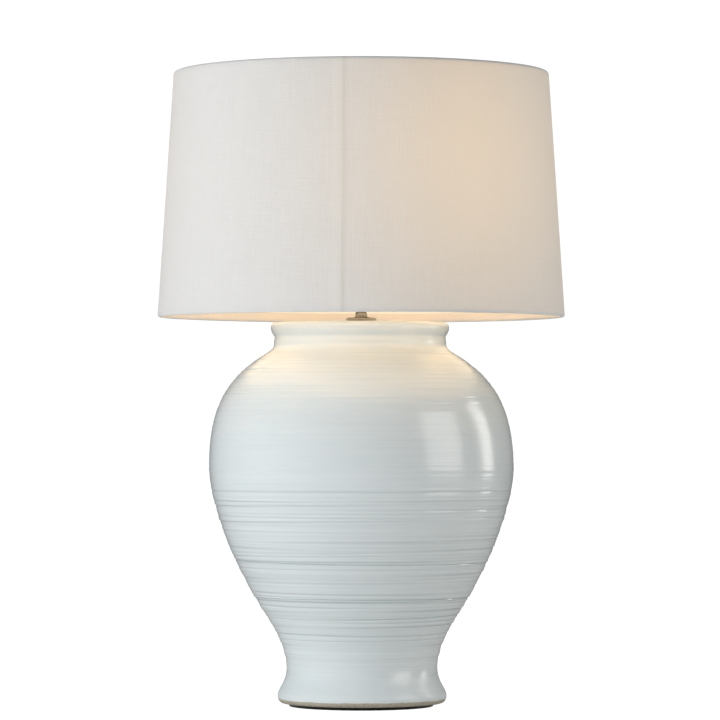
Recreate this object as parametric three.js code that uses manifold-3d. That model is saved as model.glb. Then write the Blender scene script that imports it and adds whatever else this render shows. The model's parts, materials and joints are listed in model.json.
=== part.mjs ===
// Table lamp: a hollow glazed ceramic vase with a throughput rod, a turned nickel neck,
// a knob-switched screw lampholder, a detachable harp and a lined fabric drum shade.
// Millimetres, +Z up, origin on the floor at the centre of the foot.
import * as THREE from "three";
import { mergeVertices } from "three/addons/utils/BufferGeometryUtils.js";
import Module from "manifold-3d";

const wasm = await Module();
wasm.setup();

// ---- Clearances ----
const SEAT_GAP = 0.1; // between faces that rest on each other
const FIT_GAP = 0.3; // around what fits in, turns in or slides on another piece

// ---- Foot and vase ----
const PAD_RADIUS = 79.5;
const PAD_THICKNESS = 3.5;
const VASE_HEIGHT = 419.7;
const VASE_WALL = 5.5;
const FOOT_EDGE_RADIUS = 88;
const FOOT_RADIUS = 93.5;
const FOOT_BULGE_HEIGHT = 8.2;
const FOOT_RING_INNER_RADIUS = 73;
const FOOT_RING_DRAFT = 2;
const FOOT_RECESS = 12.4;
const FLOOR_THICKNESS = 9;
const WAIST_RADIUS = 83.4;
const WAIST_HEIGHT = 39.2;
const FLANK_RADIUS = 113;
const FLANK_HEIGHT = 108.4;
const FLANK_SLOPE = 0.65; // radius gained per millimetre of height
const BELLY_RADIUS = 168.3;
const BELLY_HEIGHT = 260.4;
const SHOULDER_RADIUS = 106;
const SHOULDER_DROP = 35.3; // below the rim's top
const SHOULDER_ANGLE = 32; // degrees from level
const BELLY_FULLNESS = 0.8; // how squarely the flank turns up into the belly
const SHOULDER_FULLNESS = 0.6; // share of the rise above the belly that stays nearly upright
const NECK_RADIUS = 95.3;
const NECK_DROP = 23.2;
const GROOVE_RADIUS = 94.6;
const GROOVE_DROP = 16.2;
const RIM_RADIUS = 98.7;
const RIM_BULGE_DROP = 4.9;
const RIM_CREST_RADIUS = 93.6;
const MOUTH_RADIUS = 89;
const MOUTH_EDGE = 4;
const MOUTH_LEDGE_WIDTH = 5;
const MOUTH_LEDGE_DROP = 9;

// ---- Cable inlet at the back of the foot ----
const CABLE_BORE_RADIUS = 3.5;
const GROMMET_WALL = 1.2;
const GROMMET_FLANGE_RADIUS = 6.4;
const GROMMET_FLANGE_THICKNESS = 1.8;
const CABLE_HEIGHT = 7; // above the foot's edge
const SPOT_FACE_DEPTH = 2.1;

// ---- Rod and the stack on it ----
const ROD_RADIUS = 4.8;
const ROD_BORE_RADIUS = 3.4;
const ROD_START = 2.4; // above the foot's edge
const ROD_INTO_SOCKET = 6.2;
const BASE_WASHER_RADIUS = 19;
const BASE_WASHER_THICKNESS = 2;
const BASE_NUT_ACROSS_FLATS = 17;
const BASE_NUT_THICKNESS = 6;
const GASKET_THICKNESS = 1;
const CAP_SHEET = 1.2;
const CAP_DOME = 2.2;
const CAP_CROWN_RADIUS = 49;
const CAP_CROWN_DROP = 0.3;
const GASKET_OVERHANG = 1; // bare ledge inside the gasket
const CHECK_RING_RADIUS = 16.85;
const CHECK_RING_HEIGHT = 9.8;
const CHECK_RING_EDGE = 0.8;
const NECK_FLANGE_RADIUS = 8.85;
const NECK_FLANGE_THICKNESS = 0.6;
const DOMED_NUT_RADIUS = 6.9;
const DOMED_NUT_HEIGHT = 5.5;
const DOMED_NUT_SKIRT = 1.65;
const ROD_BARE_LENGTH = 0.9; // between the domed nut and the saddle's nut
const SADDLE_NUT_ACROSS_FLATS = 14;
const SADDLE_NUT_THICKNESS = 3.5;

// ---- Harp ----
const SADDLE_SHEET = 1.5;
const SADDLE_EDGE = 0.9; // metal left beside the rod's hole
const SADDLE_BEND = 4;
const SADDLE_PEG_ROOT = 2; // of each peg, sunk in the bent-up arm
const HARP_FOOT_SPREAD = 31; // from the axis to a leg
const HARP_FOOT_RISE = 16; // leg's end above the saddle's underside
const HARP_WIRE_RADIUS = 2;
const HARP_HEIGHT = 218.7;
const HARP_BULGE = 56;
const HARP_SQUARENESS = 0.67; // share of the upper rise where the wire stays nearly upright
const HARP_STRAIGHT = 26;
const HARP_WIDEST = 109.4; // height of the widest place above the legs' ends
const HARP_TOP_RADIUS = 7;
const HARP_TOP_THICKNESS = 5.5;
const SLEEVE_WALL = 1.7;
const SLEEVE_LENGTH = 14;
const SLEEVE_BELOW_LEG = 7.8;
const STUD_PIN_RADIUS = 2.6;
const STUD_HEAD_RADIUS = 4.2;
const STUD_HEAD_THICKNESS = 2;
const STUD_SHOULDER_RADIUS = 8;
const STUD_SHOULDER_HEIGHT = 4;
const STUD_THREAD_RADIUS = 3.1;
const STUD_THREAD_LENGTH = 14.5;
const STUD_CHAMFER = 0.8;

// ---- Lampholder ----
const HOLDER_CAP_RADIUS = 18.3;
const HOLDER_CAP_HEIGHT = 21;
const HOLDER_SHEET = 1;
const HOLDER_NECK = 4;
const HOLDER_SHOULDER = 12.8;
const HUB_WALL = 3;
const HUB_HEIGHT = 8;
const SET_SCREW_RADIUS = 1.4;
const SET_SCREW_HEIGHT = 2.2;
const SET_SCREW_PROUD = 2;
const SHELL_RADIUS = 17;
const SHELL_START = 14;
const SHELL_END = 63.5;
const SHELL_SHEET = 0.8;
const SHELL_MOUTH_FLARE = 1.4;
const SHELL_MOUTH_DEPTH = 5;
const SHELL_LIP = 2.5;
const CARD_SLEEVE_RADIUS = 15.9;
const CARD_SLEEVE_SHEET = 0.8;
const CARD_SLEEVE_START = 22;
const CARD_SLEEVE_END = 62;
const BLOCK_RADIUS = 14.6;
const BLOCK_START = 9;
const BLOCK_END = 38;
const SCREW_SHELL_RADIUS = 14.3;
const SCREW_SHELL_SHEET = 0.6;
const SCREW_SHELL_END = 61;
const CONTACT_RADIUS = 4;
const CONTACT_THICKNESS = 1.9;
const TERMINAL_HEIGHT = 17;
const TERMINAL_POCKET = 9;
const TERMINAL_POCKET_FLOOR = 9.5; // from the axis
const TERMINAL_HEAD_RADIUS = 3;
const TERMINAL_HEAD_THICKNESS = 2;
const TERMINAL_SHANK_RADIUS = 1.4;
const TERMINAL_SHANK_LENGTH = 5;
const SWITCH_HEIGHT = 27.2;
const SWITCH_SHAFT_RADIUS = 2;
const SWITCH_SHAFT_START = 8; // from the axis
const SWITCH_KNOB_START = 27;
const SWITCH_KNOB_LENGTH = 12;
const SWITCH_KNOB_RADIUS = 6.5;
const SWITCH_KNOB_FLUTES = 12;
const SWITCH_KNOB_FLUTE_DEPTH = 0.7;

// ---- Bulb, measured from its tip ----
const BULB_RADIUS = 30;
const BULB_LENGTH = 105;
const BULB_EQUATOR = 75;
const BULB_SPLIT = 64; // where the diffuser meets the body
const BULB_WALL = 1.5;
const DIFFUSER_WALL = 1.2;
const TIP_RADIUS = 4;
const TIP_THICKNESS = 1.4;
const TIP_CHAMFER = 1;
const INSULATOR_RADIUS = 8.5;
const INSULATOR_TOP = 4.8;
const INSULATOR_LIP = 1; // around the tip contact
const THREAD_ROOT_RADIUS = 12.3;
const THREAD_CREST_RADIUS = 13.2;
const THREAD_START = 7.5;
const THREAD_PITCH = 3.6;
const THREAD_TURNS = 4;
const SCREW_CAP_SHEET = 0.7;
const SCREW_CAP_END = 26.5;
const BODY_INTO_CAP = 10;
const BODY_DRAFT = 0.4;
const BOARD_THICKNESS = 1.6;
const BOARD_LEDGE = 2.5;
const BOARD_DROP = 4;

// ---- Shade ----
const SHADE_HEIGHT = 271;
const SHADE_BOTTOM_RADIUS = 225;
const SHADE_TOP_RADIUS = 207.5;
const SPIDER_RECESS = 21.5; // hub's underside below the shade's top
const FABRIC_THICKNESS = 0.8;
const LINER_THICKNESS = 0.5;
const RING_WIRE_RADIUS = 1.8;
const SPIDER_ARMS = 3;
const SPIDER_ARM_RADIUS = 1.6;
const SPIDER_ARM_ROOT = 4.5; // of each arm, welded into the hub
const SPIDER_HUB_RADIUS = 15;
const SPIDER_HUB_THICKNESS = 2.4;
const SPIDER_ARM_LEVEL_SHARE = 0.8; // of the radius, before the arm climbs to the ring

// ---- Finial ----
const FINIAL_HEIGHT = 18.4;
const FINIAL_BASE_RADIUS = 7.5;
const FINIAL_BALL_RADIUS = 6.6;
const FINIAL_WAIST_RADIUS = 4.6;
const FINIAL_BASE_HEIGHT = 3;
const FINIAL_RIM_HEIGHT = 1.8;
const FINIAL_CROWN = 3.5; // metal above the blind bore

// ---- Fineness of the round surfaces ----
const SHADE_SIDES = 48;
const VASE_SIDES = 36;
const SMALL_SIDES = 20;
const WIRE_SIDES = 8;
const SCREW_SIDES = 12;
const HARP_STEPS = 20;
const ARM_STEPS = 12;
const ROUND = 0.55; // handle length, as a share of the arm, that makes a cubic curve round
const PAST = 5; // how far a cutting tool runs past what it cuts

// ---- Levels that several pieces share ----
const FOOT_LEVEL = PAD_THICKNESS + SEAT_GAP;
const RIM_LEVEL = FOOT_LEVEL + VASE_HEIGHT;
const CAP_LEVEL = RIM_LEVEL - MOUTH_LEDGE_DROP + GASKET_THICKNESS + 2 * SEAT_GAP;
const CHECK_RING_LEVEL = CAP_LEVEL + CAP_DOME + CAP_SHEET + SEAT_GAP;
const FLANGE_LEVEL = CHECK_RING_LEVEL + CHECK_RING_HEIGHT + SEAT_GAP;
const DOMED_NUT_LEVEL = FLANGE_LEVEL + NECK_FLANGE_THICKNESS + SEAT_GAP;
const SADDLE_NUT_LEVEL = DOMED_NUT_LEVEL + DOMED_NUT_HEIGHT + ROD_BARE_LENGTH;
const SADDLE_LEVEL = SADDLE_NUT_LEVEL + SADDLE_NUT_THICKNESS + SEAT_GAP;
const HOLDER_LEVEL = SADDLE_LEVEL + SADDLE_SHEET + SEAT_GAP;
const BULB_LEVEL = HOLDER_LEVEL + BLOCK_END + CONTACT_THICKNESS + SEAT_GAP + FIT_GAP;
const HARP_LEVEL = SADDLE_LEVEL + HARP_FOOT_RISE;
const HARP_TOP_LEVEL = HARP_LEVEL + HARP_HEIGHT;
const HUB_LEVEL = HARP_TOP_LEVEL + SEAT_GAP + STUD_SHOULDER_HEIGHT + SEAT_GAP;
const SHADE_TOP_LEVEL = HUB_LEVEL + SPIDER_RECESS;
const SHADE_BOTTOM_LEVEL = SHADE_TOP_LEVEL - SHADE_HEIGHT;
const FINIAL_LEVEL = HUB_LEVEL + SPIDER_HUB_THICKNESS + SEAT_GAP;
const ROD_HOLE_RADIUS = ROD_RADIUS + FIT_GAP;
const SADDLE_WIDTH = 2 * (ROD_HOLE_RADIUS + SADDLE_EDGE);

const finishes = {
  glaze: [0xd9dedb, 0.15, 0],
  felt: [0x161615, 0.95, 0],
  zinc: [0xa9acb0, 0.4, 0.9],
  rubber: [0x232323, 0.8, 0],
  nickel: [0xc9c5bd, 0.18, 1],
  brass: [0xc8a45a, 0.3, 1],
  porcelain: [0xece8df, 0.35, 0],
  card: [0x6b5a45, 0.9, 0],
  plastic: [0xf2f1ec, 0.4, 0],
  blackGlass: [0x1b1a22, 0.2, 0],
  board: [0xe8e6da, 0.6, 0],
  opal: [0xfbf6ea, 0.5, 0],
  linen: [0xe6e2da, 0.9, 0],
  liner: [0xf7ecd9, 0.6, 0],
};

// ---- Helpers ----

// A mesh of its own finish; the surface is closed and faces out.
function piece(name, geometry, finish) {
  const [color, roughness, metalness] = finishes[finish];
  const mesh = new THREE.Mesh(geometry, new THREE.MeshStandardMaterial({ color, roughness, metalness }));
  mesh.name = name;
  return mesh;
}

function assembly(level, ...members) {
  const group = new THREE.Group();
  group.position.z = level;
  group.add(...members);
  return group;
}

// Turns a [radius, height] outline about Z. The outline closes on itself, or ends on the axis.
function revolve(outline, sides) {
  const points = outline.map(([r, z]) => new THREE.Vector2(r, z));
  const first = points[0];
  const last = points[points.length - 1];
  if (first.x > 0 || last.x > 0) points.push(first.clone());
  if (THREE.ShapeUtils.area(points) < 0) points.reverse();
  return new THREE.LatheGeometry(points, sides).rotateX(Math.PI / 2);
}

function ring(innerRadius, outerRadius, low, high, sides) {
  return revolve([[innerRadius, low], [outerRadius, low], [outerRadius, high], [innerRadius, high]], sides);
}

function rod(radius, low, high, sides) {
  return revolve([[0, low], [radius, low], [radius, high], [0, high]], sides);
}

// A wire ring whose section is a circle.
function wireRing(radius, level, wireRadius) {
  const outline = [];
  for (let i = 0; i < WIRE_SIDES; i++) {
    const angle = (2 * Math.PI * (i + 0.5)) / WIRE_SIDES;
    outline.push([radius + wireRadius * Math.cos(angle), level + wireRadius * Math.sin(angle)]);
  }
  return revolve(outline, SHADE_SIDES);
}

// A round wire along a path.
function wire(path, radius, steps) {
  const section = new THREE.Shape().absarc(0, 0, radius, 0, 2 * Math.PI);
  const options = { extrudePath: path, steps, curveSegments: WIRE_SIDES / 2, bevelEnabled: false };
  return new THREE.ExtrudeGeometry(section, options);
}

function hexNut(acrossFlats, thickness, boreRadius) {
  const shape = new THREE.Shape();
  for (let i = 0; i < 6; i++) {
    const angle = (i * Math.PI) / 3;
    const corner = acrossFlats / 2 / Math.cos(Math.PI / 6);
    shape[i ? "lineTo" : "moveTo"](corner * Math.cos(angle), corner * Math.sin(angle));
  }
  shape.closePath();
  shape.holes.push(new THREE.Path().absarc(0, 0, boreRadius, 0, 2 * Math.PI, true));
  return new THREE.ExtrudeGeometry(shape, {
    depth: thickness,
    curveSegments: SMALL_SIDES / 2,
    bevelEnabled: false,
  });
}

function solid(geometry) {
  const bare = geometry.index ? geometry.toNonIndexed() : geometry.clone();
  bare.deleteAttribute("normal");
  bare.deleteAttribute("uv");
  const merged = mergeVertices(bare, 1e-4);
  const vertProperties = merged.attributes.position.array;
  const triVerts = new Uint32Array(merged.index.array);
  return new wasm.Manifold(new wasm.Mesh({ numProp: 3, vertProperties, triVerts }));
}

function surface(body) {
  const mesh = body.getMesh();
  const geometry = new THREE.BufferGeometry();
  geometry.setAttribute("position", new THREE.BufferAttribute(new Float32Array(mesh.vertProperties), 3));
  geometry.setIndex(new THREE.BufferAttribute(new Uint32Array(mesh.triVerts), 1));
  geometry.computeVertexNormals();
  return geometry;
}

function cut(body, ...tools) {
  return surface(tools.reduce((left, tool) => left.subtract(solid(tool)), solid(body)));
}

function join(...bodies) {
  return surface(bodies.map(solid).reduce((whole, body) => whole.add(body)));
}

// [radius, height] points along a cubic curve, its start left out.
function bend(start, handleA, handleB, end, count) {
  const curve = new THREE.CubicBezierCurve(
    ...[start, handleA, handleB, end].map(([r, z]) => new THREE.Vector2(r, z)),
  );
  return curve.getPoints(count).slice(1).map((p) => [p.x, p.y]);
}

// [radius, height] points of an S-curve between two upright ends.
function swing(start, end, count) {
  const middle = (start[1] + end[1]) / 2;
  return bend(start, [start[0], middle], [end[0], middle], end, count);
}

// [radius, height] points of a rounded corner from an upright start to a level end.
function roll(start, end, count) {
  const upright = start[1] + (end[1] - start[1]) * ROUND;
  const level = end[0] + (start[0] - end[0]) * ROUND;
  return bend(start, [start[0], upright], [level, end[1]], end, count);
}

// ---- Foot and vase ----

// The vase's body from the waist to the neck, drawn in by an inset for the inside.
function vaseSide(inset, neckRadius) {
  const slope = Math.hypot(FLANK_SLOPE, 1);
  const [alongR, alongZ] = [FLANK_SLOPE / slope, 1 / slope];
  const angle = THREE.MathUtils.degToRad(SHOULDER_ANGLE);
  const shoulderLevel = VASE_HEIGHT - SHOULDER_DROP;
  const waist = [WAIST_RADIUS - inset, WAIST_HEIGHT];
  const flank = [FLANK_RADIUS - inset, FLANK_HEIGHT + inset * FLANK_SLOPE];
  const belly = [BELLY_RADIUS - inset, BELLY_HEIGHT];
  const shoulder = [SHOULDER_RADIUS - inset, shoulderLevel - inset];
  const lift = (shoulder[0] - neckRadius) * Math.tan(angle);
  const lowReach = (FLANK_HEIGHT - WAIST_HEIGHT) / 3;
  const highReach = (BELLY_HEIGHT - FLANK_HEIGHT) / 3;
  const topReach = (shoulderLevel - BELLY_HEIGHT) * SHOULDER_FULLNESS;
  const brow = topReach * ROUND;
  return [
    waist,
    ...bend(
      waist,
      [waist[0], waist[1] + lowReach],
      [flank[0] - alongR * lowReach, flank[1] - alongZ * lowReach],
      flank,
      3,
    ),
    ...bend(
      flank,
      [flank[0] + alongR * highReach, flank[1] + alongZ * highReach],
      [belly[0], belly[1] - highReach * BELLY_FULLNESS],
      belly,
      4,
    ),
    ...bend(
      belly,
      [belly[0], belly[1] + topReach],
      [shoulder[0] + Math.cos(angle) * brow, shoulder[1] - Math.sin(angle) * brow],
      shoulder,
      5,
    ),
    [neckRadius, shoulder[1] + lift],
    [neckRadius, VASE_HEIGHT - NECK_DROP - inset],
  ];
}

function vaseOutline() {
  const bulge = [FOOT_RADIUS, FOOT_BULGE_HEIGHT];
  const groove = [GROOVE_RADIUS, VASE_HEIGHT - GROOVE_DROP];
  const rim = [RIM_RADIUS, VASE_HEIGHT - RIM_BULGE_DROP];
  const crest = [RIM_CREST_RADIUS, VASE_HEIGHT];
  const ledge = VASE_HEIGHT - MOUTH_LEDGE_DROP;
  const throat = MOUTH_RADIUS - MOUTH_LEDGE_WIDTH;
  const floorTop = FOOT_RECESS + FLOOR_THICKNESS;
  const rodHole = ROD_RADIUS + 2 * FIT_GAP;
  const inside = vaseSide(VASE_WALL, throat).reverse();
  return [
    ...roll(bulge, [FOOT_EDGE_RADIUS, 0], 3).reverse(),
    ...swing(bulge, [WAIST_RADIUS, WAIST_HEIGHT], 4).slice(0, -1),
    ...vaseSide(0, NECK_RADIUS),
    groove,
    ...swing(groove, rim, 2),
    ...roll(rim, crest, 2),
    ...roll([MOUTH_RADIUS, crest[1] - MOUTH_EDGE], crest, 2).slice(0, -1).reverse(),
    [MOUTH_RADIUS, crest[1] - MOUTH_EDGE],
    [MOUTH_RADIUS, ledge],
    [throat, ledge],
    ...inside,
    [WAIST_RADIUS - VASE_WALL, floorTop],
    [rodHole, floorTop],
    [rodHole, FOOT_RECESS],
    [FOOT_RING_INNER_RADIUS - FOOT_RING_DRAFT, FOOT_RECESS],
    [FOOT_RING_INNER_RADIUS, 0],
  ];
}

// A round hole through the back of the foot, with a flat face around its mouth.
function vaseBody() {
  const inlet = GROMMET_WALL + CABLE_BORE_RADIUS + FIT_GAP;
  const face = FOOT_RADIUS - SPOT_FACE_DEPTH;
  const toBack = (geometry) => geometry.rotateX(-Math.PI / 2).translate(0, 0, CABLE_HEIGHT);
  const hole = toBack(rod(inlet, FOOT_RING_INNER_RADIUS - PAST, FOOT_RADIUS + PAST, SMALL_SIDES));
  const spot = toBack(rod(GROMMET_FLANGE_RADIUS + FIT_GAP, face, FOOT_RADIUS + PAST, SMALL_SIDES));
  return cut(revolve(vaseOutline(), VASE_SIDES), hole, spot);
}

function grommet() {
  const outer = CABLE_BORE_RADIUS + GROMMET_WALL;
  const face = FOOT_RADIUS - SPOT_FACE_DEPTH + FIT_GAP;
  const outline = [
    [CABLE_BORE_RADIUS, FOOT_RING_INNER_RADIUS],
    [outer, FOOT_RING_INNER_RADIUS],
    [outer, face],
    [GROMMET_FLANGE_RADIUS, face],
    [GROMMET_FLANGE_RADIUS, face + GROMMET_FLANGE_THICKNESS],
    [CABLE_BORE_RADIUS, face + GROMMET_FLANGE_THICKNESS],
  ];
  return revolve(outline, SMALL_SIDES).rotateX(-Math.PI / 2).translate(0, 0, CABLE_HEIGHT);
}

function base() {
  const washerTop = FOOT_RECESS - SEAT_GAP;
  const washerLow = washerTop - BASE_WASHER_THICKNESS;
  const nutLow = washerLow - SEAT_GAP - BASE_NUT_THICKNESS;
  const rodEnd = HOLDER_LEVEL + ROD_INTO_SOCKET - FOOT_LEVEL;
  const nut = hexNut(BASE_NUT_ACROSS_FLATS, BASE_NUT_THICKNESS, ROD_HOLE_RADIUS).translate(0, 0, nutLow);
  const washer = ring(ROD_HOLE_RADIUS, BASE_WASHER_RADIUS, washerLow, washerTop, SMALL_SIDES);
  return assembly(
    FOOT_LEVEL,
    piece("felt_foot_pad", rod(PAD_RADIUS, -FOOT_LEVEL, -SEAT_GAP, VASE_SIDES), "felt"),
    piece("ceramic_vase", vaseBody(), "glaze"),
    piece("cable_grommet", grommet(), "rubber"),
    piece("base_washer", washer, "zinc"),
    piece("base_nut", nut, "zinc"),
    piece("lamp_rod", ring(ROD_BORE_RADIUS, ROD_RADIUS, ROD_START, rodEnd, SMALL_SIDES), "zinc"),
  );
}

// ---- Cap and turned neck ----

function vaseCap() {
  const edge = MOUTH_RADIUS - FIT_GAP;
  const top = CAP_DOME + CAP_SHEET;
  return revolve(
    [
      [ROD_HOLE_RADIUS, CAP_DOME],
      [CAP_CROWN_RADIUS, CAP_DOME - CAP_CROWN_DROP],
      [edge - MOUTH_LEDGE_WIDTH, 0],
      [edge, 0],
      [edge, CAP_SHEET],
      [edge - MOUTH_LEDGE_WIDTH, CAP_SHEET],
      [CAP_CROWN_RADIUS, top - CAP_CROWN_DROP],
      [ROD_HOLE_RADIUS, top],
    ],
    VASE_SIDES,
  );
}

function checkRing() {
  return revolve(
    [
      [ROD_HOLE_RADIUS, 0],
      [CHECK_RING_RADIUS - CHECK_RING_EDGE, 0],
      [CHECK_RING_RADIUS, CHECK_RING_EDGE],
      [CHECK_RING_RADIUS, CHECK_RING_HEIGHT - CHECK_RING_EDGE],
      [CHECK_RING_RADIUS - CHECK_RING_EDGE, CHECK_RING_HEIGHT],
      [ROD_HOLE_RADIUS, CHECK_RING_HEIGHT],
    ],
    SMALL_SIDES,
  );
}

function domedNut() {
  const skirt = [DOMED_NUT_RADIUS, DOMED_NUT_SKIRT];
  return revolve(
    [
      [ROD_HOLE_RADIUS, 0],
      [DOMED_NUT_RADIUS, 0],
      skirt,
      ...roll(skirt, [ROD_HOLE_RADIUS + FIT_GAP, DOMED_NUT_HEIGHT], 4),
      [ROD_HOLE_RADIUS, DOMED_NUT_HEIGHT],
    ],
    SMALL_SIDES,
  );
}

function neck() {
  const gasketLevel = RIM_LEVEL - MOUTH_LEDGE_DROP + SEAT_GAP;
  const gasketEdge = MOUTH_RADIUS - FIT_GAP;
  const gasketHole = gasketEdge - MOUTH_LEDGE_WIDTH + GASKET_OVERHANG;
  const gasket = ring(gasketHole, gasketEdge, 0, GASKET_THICKNESS, VASE_SIDES);
  const flange = ring(ROD_HOLE_RADIUS, NECK_FLANGE_RADIUS, 0, NECK_FLANGE_THICKNESS, SMALL_SIDES);
  const saddleNut = hexNut(SADDLE_NUT_ACROSS_FLATS, SADDLE_NUT_THICKNESS, ROD_HOLE_RADIUS);
  return [
    assembly(gasketLevel, piece("cap_gasket", gasket, "rubber")),
    assembly(CAP_LEVEL, piece("vase_cap", vaseCap(), "nickel")),
    assembly(CHECK_RING_LEVEL, piece("check_ring", checkRing(), "nickel")),
    assembly(FLANGE_LEVEL, piece("neck_flange", flange, "nickel")),
    assembly(DOMED_NUT_LEVEL, piece("domed_nut", domedNut(), "nickel")),
    assembly(SADDLE_NUT_LEVEL, piece("saddle_nut", saddleNut, "nickel")),
  ];
}

// ---- Harp ----

// A strip bent up at both ends, with a peg on each end that meets a harp leg.
function saddle() {
  const outer = HARP_FOOT_SPREAD + SADDLE_SHEET / 2;
  const middle = outer - SADDLE_BEND;
  const inner = SADDLE_BEND - SADDLE_SHEET;
  const pegEnd = HARP_FOOT_RISE - FIT_GAP;
  const armEnd = HARP_FOOT_RISE - SLEEVE_BELOW_LEG - FIT_GAP;
  const [left, down, right] = [Math.PI, 1.5 * Math.PI, 2 * Math.PI];
  const strip = new THREE.Shape()
    .moveTo(-outer, armEnd)
    .lineTo(-outer, SADDLE_BEND)
    .absarc(-middle, SADDLE_BEND, SADDLE_BEND, left, down, false)
    .lineTo(middle, 0)
    .absarc(middle, SADDLE_BEND, SADDLE_BEND, down, right, false)
    .lineTo(outer, armEnd)
    .lineTo(outer - SADDLE_SHEET, armEnd)
    .lineTo(outer - SADDLE_SHEET, SADDLE_BEND)
    .absarc(middle, SADDLE_BEND, inner, right, down, true)
    .lineTo(-middle, SADDLE_SHEET)
    .absarc(-middle, SADDLE_BEND, inner, down, left, true)
    .lineTo(-outer + SADDLE_SHEET, armEnd);
  const options = { depth: SADDLE_WIDTH, curveSegments: 6, bevelEnabled: false };
  const bent = new THREE.ExtrudeGeometry(strip, options)
    .translate(0, 0, -SADDLE_WIDTH / 2)
    .rotateX(Math.PI / 2);
  const peg = (side) => {
    const upright = rod(HARP_WIRE_RADIUS, armEnd - SADDLE_PEG_ROOT, pegEnd, WIRE_SIDES);
    return upright.translate(side * HARP_FOOT_SPREAD, 0, 0);
  };
  return cut(join(bent, peg(-1), peg(1)), rod(ROD_HOLE_RADIUS, -PAST, SADDLE_SHEET + PAST, SMALL_SIDES));
}

// One wire from leg to leg, drawn in to a pierced boss at the top.
function harpBow() {
  const crown = HARP_HEIGHT - HARP_TOP_THICKNESS / 2;
  const lowReach = (HARP_WIDEST - HARP_STRAIGHT) / 3;
  const spread = HARP_BULGE * ROUND;
  const point = (x, z) => new THREE.Vector3(x, 0, z);
  const side = (s) => [
    new THREE.LineCurve3(point(s * HARP_FOOT_SPREAD, 0), point(s * HARP_FOOT_SPREAD, HARP_STRAIGHT)),
    new THREE.CubicBezierCurve3(
      point(s * HARP_FOOT_SPREAD, HARP_STRAIGHT),
      point(s * HARP_FOOT_SPREAD, HARP_STRAIGHT + lowReach),
      point(s * HARP_BULGE, HARP_WIDEST - 1.5 * lowReach),
      point(s * HARP_BULGE, HARP_WIDEST),
    ),
    new THREE.CubicBezierCurve3(
      point(s * HARP_BULGE, HARP_WIDEST),
      point(s * HARP_BULGE, HARP_WIDEST + (crown - HARP_WIDEST) * HARP_SQUARENESS),
      point(s * spread, crown),
      point(0, crown),
    ),
  ];
  const leg = (s) => {
    const path = new THREE.CurvePath();
    side(s).forEach((curve) => path.add(curve));
    return wire(path, HARP_WIRE_RADIUS, HARP_STEPS);
  };
  const boss = rod(HARP_TOP_RADIUS, HARP_HEIGHT - HARP_TOP_THICKNESS, HARP_HEIGHT, SMALL_SIDES);
  const pinHole = rod(STUD_PIN_RADIUS + FIT_GAP, crown - PAST, crown + PAST, SMALL_SIDES);
  return cut(join(leg(-1), leg(1), boss), pinHole);
}

// A swivelling stud: riveted head, pin, shoulder for the shade's hub, and thread.
function harpStud() {
  const headTop = -HARP_TOP_THICKNESS - SEAT_GAP;
  const shoulderTop = SEAT_GAP + STUD_SHOULDER_HEIGHT;
  return revolve(
    [
      [0, headTop - STUD_HEAD_THICKNESS],
      [STUD_HEAD_RADIUS, headTop - STUD_HEAD_THICKNESS],
      [STUD_HEAD_RADIUS, headTop],
      [STUD_PIN_RADIUS, headTop],
      [STUD_PIN_RADIUS, SEAT_GAP],
      [STUD_SHOULDER_RADIUS, SEAT_GAP],
      [STUD_SHOULDER_RADIUS, shoulderTop],
      [STUD_THREAD_RADIUS, shoulderTop],
      [STUD_THREAD_RADIUS, shoulderTop + STUD_THREAD_LENGTH - STUD_CHAMFER],
      [STUD_THREAD_RADIUS - STUD_CHAMFER, shoulderTop + STUD_THREAD_LENGTH],
      [0, shoulderTop + STUD_THREAD_LENGTH],
    ],
    SMALL_SIDES,
  );
}

function sleeve(side) {
  const inner = HARP_WIRE_RADIUS + FIT_GAP;
  const low = -SLEEVE_BELOW_LEG;
  const tube = ring(inner, inner + SLEEVE_WALL, low, low + SLEEVE_LENGTH, SMALL_SIDES);
  return tube.translate(side * HARP_FOOT_SPREAD, 0, 0);
}

function harp() {
  return [
    assembly(SADDLE_LEVEL, piece("harp_saddle", saddle(), "nickel")),
    assembly(
      HARP_LEVEL,
      piece("harp_bow", harpBow(), "nickel"),
      piece("harp_sleeve_left", sleeve(-1), "nickel"),
      piece("harp_sleeve_right", sleeve(1), "nickel"),
    ),
    assembly(HARP_TOP_LEVEL, piece("harp_stud", harpStud(), "nickel")),
  ];
}

// ---- Lampholder ----

// A rod along Y at a height in the lampholder, from a distance off the axis to another.
function crossRod(radius, near, far, height) {
  return rod(radius, near, far, SMALL_SIDES).rotateX(Math.PI / 2).translate(0, 0, height);
}

function holderCap() {
  const hub = ROD_HOLE_RADIUS + HUB_WALL;
  const inner = HOLDER_CAP_RADIUS - HOLDER_SHEET;
  const outside = [hub, HOLDER_NECK];
  const inside = [hub, HOLDER_NECK + HOLDER_SHEET];
  const outline = [
    [ROD_HOLE_RADIUS, 0],
    [hub, 0],
    outside,
    ...roll([HOLDER_CAP_RADIUS, HOLDER_SHOULDER], outside, 3).slice(0, -1).reverse(),
    [HOLDER_CAP_RADIUS, HOLDER_SHOULDER],
    [HOLDER_CAP_RADIUS, HOLDER_CAP_HEIGHT],
    [inner, HOLDER_CAP_HEIGHT],
    [inner, HOLDER_SHOULDER],
    ...roll([inner, HOLDER_SHOULDER], inside, 3),
    [hub, HUB_HEIGHT],
    [ROD_HOLE_RADIUS, HUB_HEIGHT],
  ];
  const screwHole = crossRod(SET_SCREW_RADIUS + FIT_GAP, -HOLDER_CAP_RADIUS, 0, SET_SCREW_HEIGHT);
  return cut(revolve(outline, SMALL_SIDES), screwHole);
}

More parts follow.
